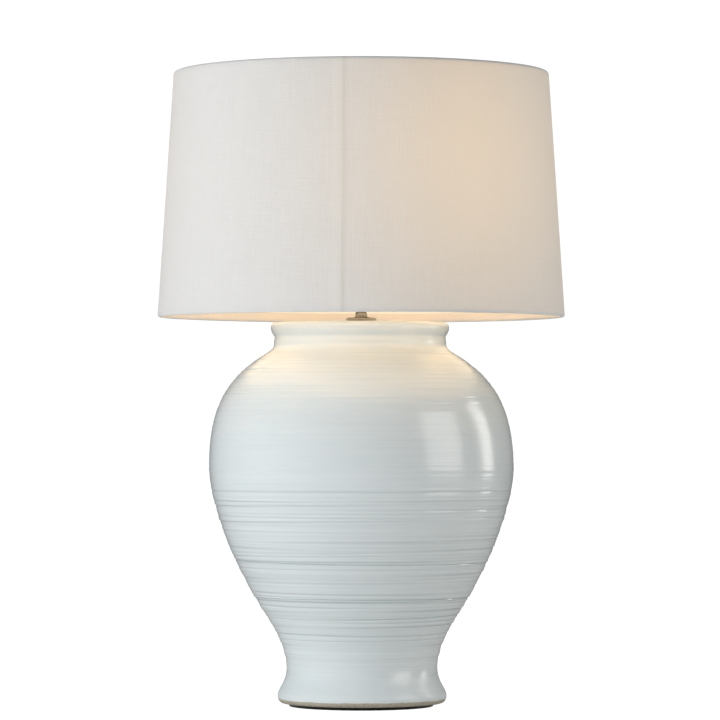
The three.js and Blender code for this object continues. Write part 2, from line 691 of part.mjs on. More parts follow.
function setScrew() {
  const tip = ROD_HOLE_RADIUS + FIT_GAP;
  return crossRod(SET_SCREW_RADIUS, -tip - HUB_WALL - SET_SCREW_PROUD, -tip, SET_SCREW_HEIGHT);
}

function holderShell() {
  const inner = SHELL_RADIUS - SHELL_SHEET;
  const lip = SHELL_END - SHELL_LIP;
  const outline = [
    [inner, SHELL_START],
    [SHELL_RADIUS, SHELL_START],
    [SHELL_RADIUS, SHELL_END - SHELL_MOUTH_DEPTH],
    [SHELL_RADIUS + SHELL_MOUTH_FLARE, lip],
    [SHELL_RADIUS + SHELL_MOUTH_FLARE, SHELL_END],
    [inner + SHELL_MOUTH_FLARE, SHELL_END],
    [inner + SHELL_MOUTH_FLARE, lip],
    [inner, SHELL_END - SHELL_MOUTH_DEPTH],
  ];
  return cut(revolve(outline, SMALL_SIDES), switchWay());
}

// The way that the switch shaft takes through the shell and the card sleeve.
function switchWay() {
  return crossRod(SWITCH_SHAFT_RADIUS + 3 * FIT_GAP, SWITCH_SHAFT_START, SWITCH_KNOB_START, SWITCH_HEIGHT);
}

function cardSleeve() {
  const inner = CARD_SLEEVE_RADIUS - CARD_SLEEVE_SHEET;
  const tube = ring(inner, CARD_SLEEVE_RADIUS, CARD_SLEEVE_START, CARD_SLEEVE_END, SMALL_SIDES);
  return cut(tube, switchWay());
}

function insideBlock() {
  const body = rod(BLOCK_RADIUS, BLOCK_START, BLOCK_END, SMALL_SIDES);
  const bore = crossRod(
    SWITCH_SHAFT_RADIUS + FIT_GAP,
    SWITCH_SHAFT_START - FIT_GAP,
    BLOCK_RADIUS + PAST,
    SWITCH_HEIGHT,
  );
  const shank = TERMINAL_SHANK_RADIUS + FIT_GAP;
  const depth = TERMINAL_POCKET_FLOOR - TERMINAL_SHANK_LENGTH - FIT_GAP;
  const pockets = [-1, 1].flatMap((side) => [
    new THREE.BoxGeometry(2 * BLOCK_RADIUS, TERMINAL_POCKET, TERMINAL_POCKET).translate(
      side * (TERMINAL_POCKET_FLOOR + BLOCK_RADIUS),
      0,
      TERMINAL_HEIGHT,
    ),
    rod(shank, depth, BLOCK_RADIUS, SCREW_SIDES)
      .rotateY((side * Math.PI) / 2)
      .translate(0, 0, TERMINAL_HEIGHT),
  ]);
  return cut(body, bore, ...pockets);
}

function terminalScrew(side) {
  const seat = TERMINAL_POCKET_FLOOR + FIT_GAP;
  const outline = [
    [0, seat - TERMINAL_SHANK_LENGTH],
    [TERMINAL_SHANK_RADIUS, seat - TERMINAL_SHANK_LENGTH],
    [TERMINAL_SHANK_RADIUS, seat],
    [TERMINAL_HEAD_RADIUS, seat],
    [TERMINAL_HEAD_RADIUS, seat + TERMINAL_HEAD_THICKNESS],
    [0, seat + TERMINAL_HEAD_THICKNESS],
  ];
  return revolve(outline, SCREW_SIDES)
    .rotateY((side * Math.PI) / 2)
    .translate(0, 0, TERMINAL_HEIGHT);
}

// A fluted knob on a round shaft that reaches into the block, towards the front.
function switchKnob() {
  const flutes = new THREE.Shape();
  const corners = SWITCH_KNOB_FLUTES * 4;
  for (let i = 0; i < corners; i++) {
    const angle = (2 * Math.PI * i) / corners;
    const radius = SWITCH_KNOB_RADIUS - (i % 4 < 2 ? 0 : SWITCH_KNOB_FLUTE_DEPTH);
    flutes[i ? "lineTo" : "moveTo"](radius * Math.cos(angle), radius * Math.sin(angle));
  }
  flutes.closePath();
  const grip = new THREE.ExtrudeGeometry(flutes, { depth: SWITCH_KNOB_LENGTH, bevelEnabled: false })
    .translate(0, 0, SWITCH_KNOB_START)
    .rotateX(Math.PI / 2)
    .translate(0, 0, SWITCH_HEIGHT);
  const shaft = crossRod(
    SWITCH_SHAFT_RADIUS,
    SWITCH_SHAFT_START,
    SWITCH_KNOB_START + SWITCH_KNOB_LENGTH / 2,
    SWITCH_HEIGHT,
  );
  return join(grip, shaft);
}

function lampholder() {
  const screwShell = ring(
    SCREW_SHELL_RADIUS - SCREW_SHELL_SHEET,
    SCREW_SHELL_RADIUS,
    BLOCK_END + SEAT_GAP,
    SCREW_SHELL_END,
    SMALL_SIDES,
  );
  const contactLow = BLOCK_END + SEAT_GAP;
  const contact = rod(CONTACT_RADIUS, contactLow, contactLow + CONTACT_THICKNESS, SMALL_SIDES);
  return assembly(
    HOLDER_LEVEL,
    piece("socket_cap", holderCap(), "brass"),
    piece("socket_set_screw", setScrew(), "zinc"),
    piece("socket_shell", holderShell(), "brass"),
    piece("socket_card_sleeve", cardSleeve(), "card"),
    piece("socket_block", insideBlock(), "porcelain"),
    piece("socket_screw_shell", screwShell, "brass"),
    piece("socket_contact", contact, "brass"),
    piece("terminal_screw_left", terminalScrew(-1), "brass"),
    piece("terminal_screw_right", terminalScrew(1), "zinc"),
    piece("switch_knob", switchKnob(), "brass"),
  );
}

// ---- Bulb ----

function screwCap() {
  const outline = [[INSULATOR_RADIUS + SCREW_CAP_SHEET, INSULATOR_TOP + SEAT_GAP]];
  for (let i = 0; i < THREAD_TURNS; i++) {
    outline.push([THREAD_ROOT_RADIUS, THREAD_START + i * THREAD_PITCH]);
    outline.push([THREAD_CREST_RADIUS, THREAD_START + (i + 0.5) * THREAD_PITCH]);
  }
  const inner = THREAD_ROOT_RADIUS - SCREW_CAP_SHEET;
  return revolve(
    [
      ...outline,
      [THREAD_ROOT_RADIUS, THREAD_START + THREAD_TURNS * THREAD_PITCH],
      [THREAD_ROOT_RADIUS, SCREW_CAP_END],
      [inner, SCREW_CAP_END],
      [inner, THREAD_START + SCREW_CAP_SHEET],
      [INSULATOR_RADIUS, INSULATOR_TOP + SEAT_GAP],
    ],
    SMALL_SIDES,
  );
}

function bulbBody() {
  const plug = THREAD_ROOT_RADIUS - SCREW_CAP_SHEET - FIT_GAP;
  const low = SCREW_CAP_END - BODY_INTO_CAP;
  const collar = SCREW_CAP_END + SEAT_GAP;
  const mouth = BULB_RADIUS - BULB_WALL;
  const ledge = BULB_SPLIT - BOARD_DROP;
  return revolve(
    [
      [plug, low],
      [plug, collar],
      [THREAD_CREST_RADIUS, collar],
      ...swing([THREAD_CREST_RADIUS, collar], [BULB_RADIUS, BULB_SPLIT], 4),
      [mouth, BULB_SPLIT],
      [mouth - BODY_DRAFT, ledge],
      [mouth - BODY_DRAFT - BOARD_LEDGE, ledge],
      [plug - BULB_WALL, collar + BULB_WALL],
      [plug - BULB_WALL, low],
    ],
    SMALL_SIDES,
  );
}

// A dome that is open at the bottom.
function diffuser() {
  const half = (radius, top) => [
    [radius, BULB_SPLIT + SEAT_GAP],
    ...roll([radius, BULB_EQUATOR], [0, top], 6),
  ];
  const outside = half(BULB_RADIUS, BULB_LENGTH).reverse();
  const inside = half(BULB_RADIUS - DIFFUSER_WALL, BULB_LENGTH - DIFFUSER_WALL);
  return revolve([...outside, ...inside], SMALL_SIDES);
}

function bulb() {
  const tip = revolve(
    [
      [0, 0],
      [TIP_RADIUS - TIP_CHAMFER, 0],
      [TIP_RADIUS, TIP_THICKNESS / 2],
      [TIP_RADIUS, TIP_THICKNESS],
      [0, TIP_THICKNESS],
    ],
    SMALL_SIDES,
  );
  const seat = TIP_THICKNESS + SEAT_GAP;
  const insulator = revolve(
    [[0, seat], [TIP_RADIUS + INSULATOR_LIP, seat], [INSULATOR_RADIUS, INSULATOR_TOP], [0, INSULATOR_TOP]],
    SMALL_SIDES,
  );
  const boardLow = BULB_SPLIT - BOARD_DROP + SEAT_GAP;
  const boardRadius = BULB_RADIUS - BULB_WALL - BODY_DRAFT - FIT_GAP;
  const board = rod(boardRadius, boardLow, boardLow + BOARD_THICKNESS, SMALL_SIDES);
  return assembly(
    BULB_LEVEL,
    piece("bulb_tip_contact", tip, "zinc"),
    piece("bulb_insulator", insulator, "blackGlass"),
    piece("bulb_screw_cap", screwCap(), "zinc"),
    piece("bulb_body", bulbBody(), "plastic"),
    piece("bulb_led_board", board, "board"),
    piece("bulb_diffuser", diffuser(), "opal"),
  );
}

// ---- Shade, measured from its bottom edge ----

function shadeRadius(height) {
  return SHADE_BOTTOM_RADIUS + ((SHADE_TOP_RADIUS - SHADE_BOTTOM_RADIUS) * height) / SHADE_HEIGHT;
}

// The radius of a wire ring that stands inside the fabric at a height.
function ringRadius(height) {
  return shadeRadius(height) - FABRIC_THICKNESS - FIT_GAP - RING_WIRE_RADIUS;
}

// The cover: a cone whose edges turn in over the wire rings.
function fabricCover() {
  const turnIn = FABRIC_THICKNESS + FIT_GAP + 2 * RING_WIRE_RADIUS;
  const inside = (height) => shadeRadius(height) - FABRIC_THICKNESS;
  return revolve(
    [
      [shadeRadius(0), 0],
      [shadeRadius(SHADE_HEIGHT), SHADE_HEIGHT],
      [shadeRadius(SHADE_HEIGHT) - turnIn, SHADE_HEIGHT],
      [shadeRadius(SHADE_HEIGHT) - turnIn, SHADE_HEIGHT - FABRIC_THICKNESS],
      [inside(SHADE_HEIGHT), SHADE_HEIGHT - FABRIC_THICKNESS],
      [inside(0), FABRIC_THICKNESS],
      [shadeRadius(0) - turnIn, FABRIC_THICKNESS],
      [shadeRadius(0) - turnIn, 0],
    ],
    SHADE_SIDES,
  );
}

function linerSheet() {
  const margin = FABRIC_THICKNESS + 2 * FIT_GAP + 2 * RING_WIRE_RADIUS;
  const outside = (height) => shadeRadius(height) - FABRIC_THICKNESS - FIT_GAP;
  const top = SHADE_HEIGHT - margin;
  return revolve(
    [
      [outside(margin), margin],
      [outside(top), top],
      [outside(top) - LINER_THICKNESS, top],
      [outside(margin) - LINER_THICKNESS, margin],
    ],
    SHADE_SIDES,
  );
}

// Top ring, arms and hub, welded into one frame.
function spiderFrame() {
  const ringLevel = SHADE_HEIGHT - FABRIC_THICKNESS - FIT_GAP - RING_WIRE_RADIUS;
  const reach = ringRadius(ringLevel);
  const hubLow = SHADE_HEIGHT - SPIDER_RECESS;
  const armLevel = hubLow + SPIDER_HUB_THICKNESS / 2;
  const level = reach * SPIDER_ARM_LEVEL_SHARE;
  const climb = (level + reach) / 2;
  const root = SPIDER_HUB_RADIUS - SPIDER_ARM_ROOT;
  const point = (r, z) => new THREE.Vector3(0, r, z);
  const path = new THREE.CurvePath();
  path.add(new THREE.LineCurve3(point(root, armLevel), point(level, armLevel)));
  path.add(
    new THREE.CubicBezierCurve3(
      point(level, armLevel),
      point(climb, armLevel),
      point(climb, ringLevel),
      point(reach, ringLevel),
    ),
  );
  const arms = [];
  for (let i = 0; i < SPIDER_ARMS; i++) {
    arms.push(wire(path, SPIDER_ARM_RADIUS, ARM_STEPS).rotateZ((2 * Math.PI * i) / SPIDER_ARMS));
  }
  const hub = rod(SPIDER_HUB_RADIUS, hubLow, hubLow + SPIDER_HUB_THICKNESS, SMALL_SIDES);
  const hole = rod(STUD_THREAD_RADIUS + FIT_GAP, hubLow - PAST, hubLow + PAST, SMALL_SIDES);
  return cut(join(wireRing(reach, ringLevel, RING_WIRE_RADIUS), hub, ...arms), hole);
}

function shade() {
  const ringLevel = FABRIC_THICKNESS + FIT_GAP + RING_WIRE_RADIUS;
  return assembly(
    SHADE_BOTTOM_LEVEL,
    piece("shade_fabric", fabricCover(), "linen"),
    piece("shade_liner", linerSheet(), "liner"),
    piece("spider_frame", spiderFrame(), "nickel"),
    piece("bottom_wire_ring", wireRing(ringRadius(ringLevel), ringLevel, RING_WIRE_RADIUS), "nickel"),
  );
}

// A turned ball on a waisted base, with a blind threaded bore, that clamps the shade's hub.
function finial() {
  const bore = STUD_THREAD_RADIUS + FIT_GAP;
  const boreTop = FINIAL_HEIGHT - FINIAL_CROWN;
  const centre = FINIAL_HEIGHT - FINIAL_BALL_RADIUS;
  const start = -Math.acos(FINIAL_WAIST_RADIUS / FINIAL_BALL_RADIUS);
  const ball = new THREE.Path().absarc(0, centre, FINIAL_BALL_RADIUS, start, Math.PI / 2);
  const outline = [
    [0, boreTop],
    [bore, boreTop],
    [bore, 0],
    [FINIAL_BASE_RADIUS, 0],
    [FINIAL_BASE_RADIUS, FINIAL_RIM_HEIGHT],
    [FINIAL_WAIST_RADIUS, FINIAL_BASE_HEIGHT],
    ...ball.getPoints(6).slice(0, -1).map((p) => [p.x, p.y]),
    [0, FINIAL_HEIGHT],
  ];
  return assembly(FINIAL_LEVEL, piece("finial", revolve(outline, SMALL_SIDES), "nickel"));
}

const lamp = new THREE.Group();
lamp.name = "table_lamp";
lamp.add(base(), ...neck(), ...harp(), lampholder(), bulb(), shade(), finial());

export default lamp;
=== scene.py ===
"""A table lamp: fabric drum shade on a harp, nickel neck, and a thrown, glazed ceramic vase."""

import json
import math

import bmesh
import bpy
import numpy as np
from mathutils import Matrix, Vector


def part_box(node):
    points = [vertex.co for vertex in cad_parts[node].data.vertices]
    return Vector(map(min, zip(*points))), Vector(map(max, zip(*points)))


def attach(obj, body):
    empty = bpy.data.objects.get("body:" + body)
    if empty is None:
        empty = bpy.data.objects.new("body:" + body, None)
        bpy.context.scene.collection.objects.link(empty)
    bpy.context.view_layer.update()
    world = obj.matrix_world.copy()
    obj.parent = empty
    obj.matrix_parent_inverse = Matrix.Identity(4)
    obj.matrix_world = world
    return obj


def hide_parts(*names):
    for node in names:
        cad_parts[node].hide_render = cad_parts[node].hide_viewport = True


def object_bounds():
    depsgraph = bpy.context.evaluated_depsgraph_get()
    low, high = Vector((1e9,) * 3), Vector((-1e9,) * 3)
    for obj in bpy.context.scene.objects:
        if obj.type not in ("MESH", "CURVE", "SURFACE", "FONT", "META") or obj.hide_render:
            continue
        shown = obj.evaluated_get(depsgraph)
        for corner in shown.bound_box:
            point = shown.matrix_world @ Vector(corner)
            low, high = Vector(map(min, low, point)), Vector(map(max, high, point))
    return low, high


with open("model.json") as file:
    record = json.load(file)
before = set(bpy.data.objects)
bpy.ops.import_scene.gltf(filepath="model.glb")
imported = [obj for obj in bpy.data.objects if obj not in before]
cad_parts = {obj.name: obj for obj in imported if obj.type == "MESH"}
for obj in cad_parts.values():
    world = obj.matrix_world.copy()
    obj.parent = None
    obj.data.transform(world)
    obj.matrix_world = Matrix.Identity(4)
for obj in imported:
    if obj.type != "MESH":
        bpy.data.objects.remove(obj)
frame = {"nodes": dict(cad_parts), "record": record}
cad_low, cad_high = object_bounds()

MM = 0.001
scene = bpy.context.scene
TWO_PI = 2 * math.pi
FRONT = -math.pi / 2  # the azimuth that faces -Y


# ---------------------------------------------------------------- materials


class Shader:
    """A node material whose pieces are placed by short calls."""

    def __init__(self, name, **values):
        self.material = bpy.data.materials.new(name)
        self.material.use_nodes = True
        self.tree = self.material.node_tree
        self.bsdf = self.tree.nodes["Principled BSDF"]
        self.set(**values)

    def set(self, **values):
        for key, value in values.items():
            self.put(self.bsdf.inputs[key.replace("_", " ")], value)

    def put(self, socket, value):
        if isinstance(value, bpy.types.NodeSocket):
            self.tree.links.new(value, socket)
        elif hasattr(value, "__len__") and len(value) == 3 and socket.type == "RGBA":
            socket.default_value = (*value, 1)
        else:
            socket.default_value = value

    def node(self, kind, inputs=(), **props):
        made = self.tree.nodes.new("ShaderNode" + kind)
        for key, value in props.items():
            setattr(made, key, value)
        for index, value in dict(inputs).items():
            self.put(made.inputs[index], value)
        return made

    def place(self, source="Object"):
        return self.node("TexCoord").outputs[source]

    def math(self, operation, a, b=0.0):
        return self.node("Math", {0: a, 1: b}, operation=operation).outputs[0]

    def add(self, a, b):
        return self.math("ADD", a, b)

    def subtract(self, a, b):
        return self.math("SUBTRACT", a, b)

    def multiply(self, a, b):
        return self.math("MULTIPLY", a, b)

    def bell(self, value, middle, spread):
        """1 at the middle, falling off smoothly to both sides."""
        away = self.math("DIVIDE", self.subtract(value, middle), spread)
        return self.math("EXPONENT", self.multiply(self.multiply(away, away), -1.0))

    def parts(self, vector):
        return self.node("SeparateXYZ", {0: vector}).outputs

    def scaled(self, vector, scale):
        return self.node("VectorMath", {0: vector, 1: scale}, operation="MULTIPLY").outputs[0]

    def noise(self, vector, scale, detail=2.0, roughness=0.5, distortion=0.0):
        inputs = {"Vector": vector, "Scale": scale, "Detail": detail, "Roughness": roughness}
        inputs["Distortion"] = distortion
        return self.node("TexNoise", inputs).outputs["Fac"]

    def ramp(self, value, low, high, to_low=0.0, to_high=1.0):
        inputs = {"Value": value, "From Min": low, "From Max": high, "To Min": to_low, "To Max": to_high}
        return self.node("MapRange", inputs, interpolation_type="SMOOTHSTEP").outputs[0]

    def mix(self, factor, a, b):
        made = self.node("Mix", data_type="RGBA")
        self.put(made.inputs["Factor"], factor)
        self.put(made.inputs[6], a)
        self.put(made.inputs[7], b)
        return made.outputs[2]

    def bump(self, height, distance, strength=1.0, under=None):
        inputs = {"Height": height, "Distance": distance, "Strength": strength}
        if under is not None:
            inputs["Normal"] = under
        return self.node("Bump", inputs).outputs[0]


GLAZE_POOLED, GLAZE_THICK, GLAZE_THIN = (0.37, 0.44, 0.45), (0.76, 0.825, 0.83), (0.80, 0.855, 0.86)
GLAZE_STREAK = (0.86, 0.895, 0.89)
BARE_CLAY, CLAY_SPECK = (0.52, 0.47, 0.38), (0.16, 0.12, 0.08)
BARE_EDGE = (3.4 * MM, 4.2 * MM)  # above the foot, where the glaze starts
SATIN_EDGE = (22 * MM, 40 * MM)  # above the foot, where the glaze turns from satin to glossy


def glaze_material(foot_low):
    """Glossy duck-egg glaze that pools in the grooves, over a speckled bare foot edge."""
    shader = Shader("duck_egg_glaze", IOR=1.52, Coat_Weight=0.25, Coat_Roughness=0.08)
    place = shader.place()
    height = shader.parts(place)[2]
    groove = shader.node("Attribute", attribute_name="groove").outputs["Fac"]
    streaks = shader.noise(shader.scaled(place, (7, 7, 420)), 1.0, 4.0, 0.6)
    clouds = shader.noise(place, 9.0, 3.0)
    fine = shader.noise(shader.scaled(place, (30, 30, 1500)), 1.0, 3.0, 0.55)
    pale = shader.mix(clouds, GLAZE_THICK, GLAZE_THIN)
    streaked = shader.mix(shader.ramp(streaks, 0.35, 0.7, 0, 0.35), pale, GLAZE_STREAK)
    pooled = shader.mix(shader.ramp(groove, 0.08, 0.9, 0, 0.62), streaked, GLAZE_POOLED)
    speck = shader.noise(place, 900.0, 1.0)
    bare = shader.mix(shader.ramp(speck, 0.6, 0.72), BARE_CLAY, CLAY_SPECK)
    wobble = shader.multiply(shader.noise(place, 45.0, 2.0), 2.5 * MM)
    edge = shader.subtract(height, wobble)
    glazed = shader.ramp(edge, foot_low + BARE_EDGE[0], foot_low + BARE_EDGE[1])
    shader.set(Base_Color=shader.mix(glazed, bare, pooled))
    gloss = shader.ramp(fine, 0.3, 0.8, 0.08, 0.2)
    satin = shader.ramp(height, foot_low + SATIN_EDGE[0], foot_low + SATIN_EDGE[1], 0.34, 0.0)
    bared = shader.multiply(shader.subtract(1.0, glazed), 0.7)
    shader.set(Roughness=shader.add(gloss, shader.add(satin, bared)))
    rough = shader.bump(fine, 0.12 * MM, 0.5)
    shader.set(Normal=shader.bump(streaks, 0.5 * MM, 0.55, rough))
    return shader.material


THREAD_PITCH, THREAD_WANDER = 1.15 * MM, 9.0
LINEN_SHADED, LINEN_LIT, LINEN_SLUB = (0.75, 0.74, 0.72), (0.87, 0.865, 0.85), (0.93, 0.925, 0.91)
# The second colour on the next line is painted shade: a darker line down the seam's lap.
LINEN_CLOUD, LAP_SHADE_COLOR = (0.80, 0.79, 0.765), (0.66, 0.68, 0.62)
# Painted light: the bulb's warm glow through the cloth is laid on as emission. It runs all round, is stronger
# in a patch right of the front, is painted weaker on the left where the key light falls, and is cut at the
# rolled edges.
GLOW_COLOR = (1.0, 0.60, 0.20)
GLOW_ALL_ROUND, GLOW_PATCH, GLOW_WASHED_OUT = 0.19, 0.15, 0.15
PATCH_MIDDLE, PATCH_SPREAD = math.radians(30), math.radians(28)  # from the front, towards +X
WASHED_OUT_MIDDLE, WASHED_OUT_SPREAD = math.radians(-48), math.radians(52)
LAP_SHADE_MIDDLE, LAP_SHADE_SPREAD = math.radians(-5.0), math.radians(0.55)
GLOW_LEVEL, GLOW_HEIGHT = 0.64, 0.7  # shares of the shade's height
HEM_LOW, HEM_HIGH = (1 * MM, 4.5 * MM), (1 * MM, 4 * MM)  # where the rolled edges stop the glow


def linen_material(low, high):
    """Slubby plain weave, with the warm glow of the lit bulb behind it painted on as emission."""
    shader = Shader("white_linen", Roughness=0.92, Sheen_Weight=0.25, Sheen_Roughness=0.5)
    along = shader.place("UV")
    u, v, _ = shader.parts(along)

    def threads(across, stretch):
        """A wave across the threads that wanders along them."""
        drift = shader.noise(shader.scaled(along, stretch), 1.0, 2.0)
        wave = shader.multiply(across, TWO_PI / THREAD_PITCH)
        return shader.math("SINE", shader.add(wave, shader.multiply(drift, THREAD_WANDER)))

    weave = shader.math("MAXIMUM", threads(u, (260, 26, 1)), threads(v, (26, 260, 1)))
    upright = shader.noise(shader.scaled(along, (520, 16, 1)), 1.0, 3.0, 0.65)
    level = shader.noise(shader.scaled(along, (14, 560, 1)), 1.0, 3.0, 0.65)
    slubs = shader.add(shader.ramp(upright, 0.35, 0.72), shader.ramp(level, 0.48, 0.85, 0.0, 0.7))
    mottle = shader.noise(along, 26.0, 3.0)
    thread = shader.mix(shader.ramp(weave, -0.4, 1.0), LINEN_SHADED, LINEN_LIT)
    toned = shader.mix(shader.multiply(slubs, 0.22), thread, LINEN_SLUB)
    clouded = shader.mix(shader.ramp(mottle, 0.3, 0.8, 0.0, 0.2), toned, LINEN_CLOUD)
    x, y, z = shader.parts(shader.place())
    turn = shader.math("ARCTAN2", x, shader.multiply(y, -1.0))  # 0 at the front, grows to +X
    # Painted shade: a thin darker line down the seam's lap, where the doubled cloth would block the glow.
    lap_shade = shader.bell(turn, LAP_SHADE_MIDDLE, LAP_SHADE_SPREAD)
    shader.set(Base_Color=shader.mix(shader.multiply(lap_shade, 0.42), clouded, LAP_SHADE_COLOR))
    shader.set(Normal=shader.bump(slubs, 0.16 * MM, 0.45, shader.bump(weave, 0.2 * MM, 0.5)))

    # Painted light from here on: the glow is emission placed on the cloth by turn and height.
    tall = high.z - low.z
    patch = shader.multiply(shader.bell(turn, PATCH_MIDDLE, PATCH_SPREAD), GLOW_PATCH)
    washed_out = shader.multiply(shader.bell(turn, WASHED_OUT_MIDDLE, WASHED_OUT_SPREAD), GLOW_WASHED_OUT)
    around = shader.subtract(shader.add(GLOW_ALL_ROUND, patch), washed_out)
    rise = shader.bell(z, low.z + GLOW_LEVEL * tall, GLOW_HEIGHT * tall)
    thin = shader.ramp(weave, -0.6, 1.0, 1.12, 0.9)
    bottom_hem = shader.ramp(z, low.z + HEM_LOW[0], low.z + HEM_LOW[1])
    top_hem = shader.ramp(z, high.z - HEM_HIGH[0], high.z - HEM_HIGH[1])
    hem = shader.multiply(bottom_hem, top_hem)
    glow = shader.multiply(shader.multiply(around, rise), shader.multiply(thin, hem))
    shader.set(Emission_Color=GLOW_COLOR, Emission_Strength=glow)
    return shader.material


def nickel_material(name="polished_nickel", color=(0.66, 0.62, 0.56), roughness=0.05):
    """Polished plate with faint turning lines and finger marks."""
    shader = Shader(name, Metallic=1.0)
    place = shader.place()
    marks = shader.noise(place, 160.0, 4.0, 0.6)
    lines = shader.noise(shader.scaled(place, (60, 60, 5200)), 1.0, 2.0)
    shader.set(Base_Color=shader.mix(shader.ramp(marks, 0.3, 0.8), color, [c * 0.94 for c in color]))
    shader.set(Roughness=shader.ramp(marks, 0.3, 0.8, roughness, roughness + 0.05))
    shader.set(Normal=shader.bump(lines, 0.02 * MM, 0.3))
    return shader.material


def moulded_material(name, color, dark, roughness, grain=420.0, depth=0.05):
    """A moulded, cast or pressed surface with grain and uneven colour."""
    shader = Shader(name)
    place = shader.place()
    cloud = shader.noise(place, 70.0, 3.0)
    pores = shader.noise(place, grain, 3.0, 0.6)
    shader.set(Base_Color=shader.mix(shader.ramp(cloud, 0.25, 0.85), color, dark))
    shader.set(Roughness=shader.ramp(pores, 0.3, 0.8, roughness, min(1.0, roughness + 0.15)))
    shader.set(Normal=shader.bump(pores, depth * MM, 0.6))
    return shader.material


def felt_material():
    """Pressed wool: matted fibres over a clouded black."""
    shader = Shader("black_felt", Roughness=0.98, Sheen_Weight=0.4)
    place = shader.place()
    fibres = shader.noise(place, 1400.0, 5.0, 0.75, 1.5)
    cloud = shader.noise(place, 120.0, 3.0)
    matted = shader.multiply(fibres, cloud)
    shader.set(Base_Color=shader.mix(matted, (0.006, 0.006, 0.006), (0.06, 0.058, 0.055)))
    shader.set(Normal=shader.bump(fibres, 0.3 * MM, 0.9))
    return shader.material


def liner_material():
    """Satin laminate with a faint cool glow painted on, as painted light inside the shade."""
    shader = Shader("cream_laminate")
    place = shader.place()
    cloud = shader.noise(place, 20.0, 3.0)
    grain = shader.noise(shader.scaled(place, (300, 300, 900)), 1.0, 3.0)
    shader.set(Base_Color=shader.mix(cloud, (0.92, 0.90, 0.86), (0.95, 0.935, 0.90)))
    shader.set(Roughness=shader.ramp(grain, 0.3, 0.8, 0.5, 0.7))
    shader.set(Normal=shader.bump(grain, 0.05 * MM, 0.4))
    # Painted light: the laminate glows faintly of itself.
    shader.set(Emission_Color=(0.75, 1.0, 0.9), Emission_Strength=0.17)
    return shader.material


def opal_material():
    """Lit opal plastic, a little brighter away from the collar."""
    shader = Shader("lit_opal", Roughness=0.45)
    place = shader.place()
    cloud = shader.noise(place, 60.0, 2.0)
    shader.set(Base_Color=shader.mix(cloud, (0.92, 0.88, 0.80), (0.96, 0.93, 0.87)))
    shader.set(Normal=shader.bump(shader.noise(place, 700.0, 2.0), 0.03 * MM, 0.3))
    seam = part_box("bulb_diffuser")[0].z
    lit = shader.ramp(shader.parts(place)[2], seam, seam + 14 * MM, 0.3, 0.55)
    shader.set(Emission_Color=(1.0, 0.66, 0.34), Emission_Strength=lit)
    return shader.material


# ---------------------------------------------------------------- mesh helpers


def finish_mesh(name, mesh, body, material, replaced=(), sharp=35):
    """Smooths a mesh except at edges sharper than an angle, and gives it its body and material."""
    for polygon in mesh.polygons:
        polygon.use_smooth = True
    mesh.set_sharp_from_angle(angle=math.radians(sharp))
    mesh.materials.clear()
    mesh.materials.append(material)
    piece = bpy.data.objects.new(name, mesh)
    scene.collection.objects.link(piece)
    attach(piece, body)
    if replaced:
        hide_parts(*replaced)
    return piece


def grid_mesh(name, points, closed_rows, closed_columns):
    """points is rows x columns x 3. Rows run along the outline and columns around the axis."""
    rows, columns, _ = points.shape
    mesh = bpy.data.meshes.new(name)
    faces = []
    for i in range(rows if closed_rows else rows - 1):
        below, above = i * columns, ((i + 1) % rows) * columns
        for j in range(columns if closed_columns else columns - 1):
            k = (j + 1) % columns
            faces.append((below + j, below + k, above + k, above + j))
    mesh.from_pydata(points.reshape(-1, 3).tolist(), [], faces)
    return mesh


def face_outwards(mesh):
    work = bmesh.new()
    work.from_mesh(mesh)
    bmesh.ops.recalc_face_normals(work, faces=work.faces)
    work.to_mesh(mesh)
    work.free()
    return mesh


def tidy(mesh):
    """Merges what meets on the axis and turns every face outwards."""
    work = bmesh.new()
    work.from_mesh(mesh)
    bmesh.ops.remove_doubles(work, verts=work.verts, dist=1e-6)
    bmesh.ops.dissolve_degenerate(work, dist=1e-7, edges=work.edges)
    bmesh.ops.recalc_face_normals(work, faces=work.faces)
    work.to_mesh(mesh)
    work.free()
    return mesh


def arc(centre, radius, start, end, count):
    """[radius, height] points on a circle, angles in degrees."""
    turns = np.radians(np.linspace(start, end, count))
    return [(centre[0] + radius * math.cos(t), centre[1] + radius * math.sin(t)) for t in turns]


def turned(name, outline, sides=96, flute=None):
    """Turns a [radius, height] outline about Z. flute(angle, radius, height) may reshape the radius."""
    outline = np.array(outline)
    on_axis = outline[0][0] < 1e-9 and outline[-1][0] < 1e-9
    turns = np.arange(sides) * TWO_PI / sides
    radius = np.repeat(outline[:, :1], sides, axis=1)
    height = np.repeat(outline[:, 1:], sides, axis=1)
    if flute:
        radius = flute(turns[None, :], radius, height)
    points = np.stack([radius * np.cos(turns), radius * np.sin(turns), height], axis=2)
    return tidy(grid_mesh(name, points, not on_axis, True))


def turned_piece(name, outline, sides, body, material, node, sharp=35):
    """A piece turned about Z that stands for one CAD node."""
    return finish_mesh(name, turned(name, outline, sides), body, material, [node], sharp)


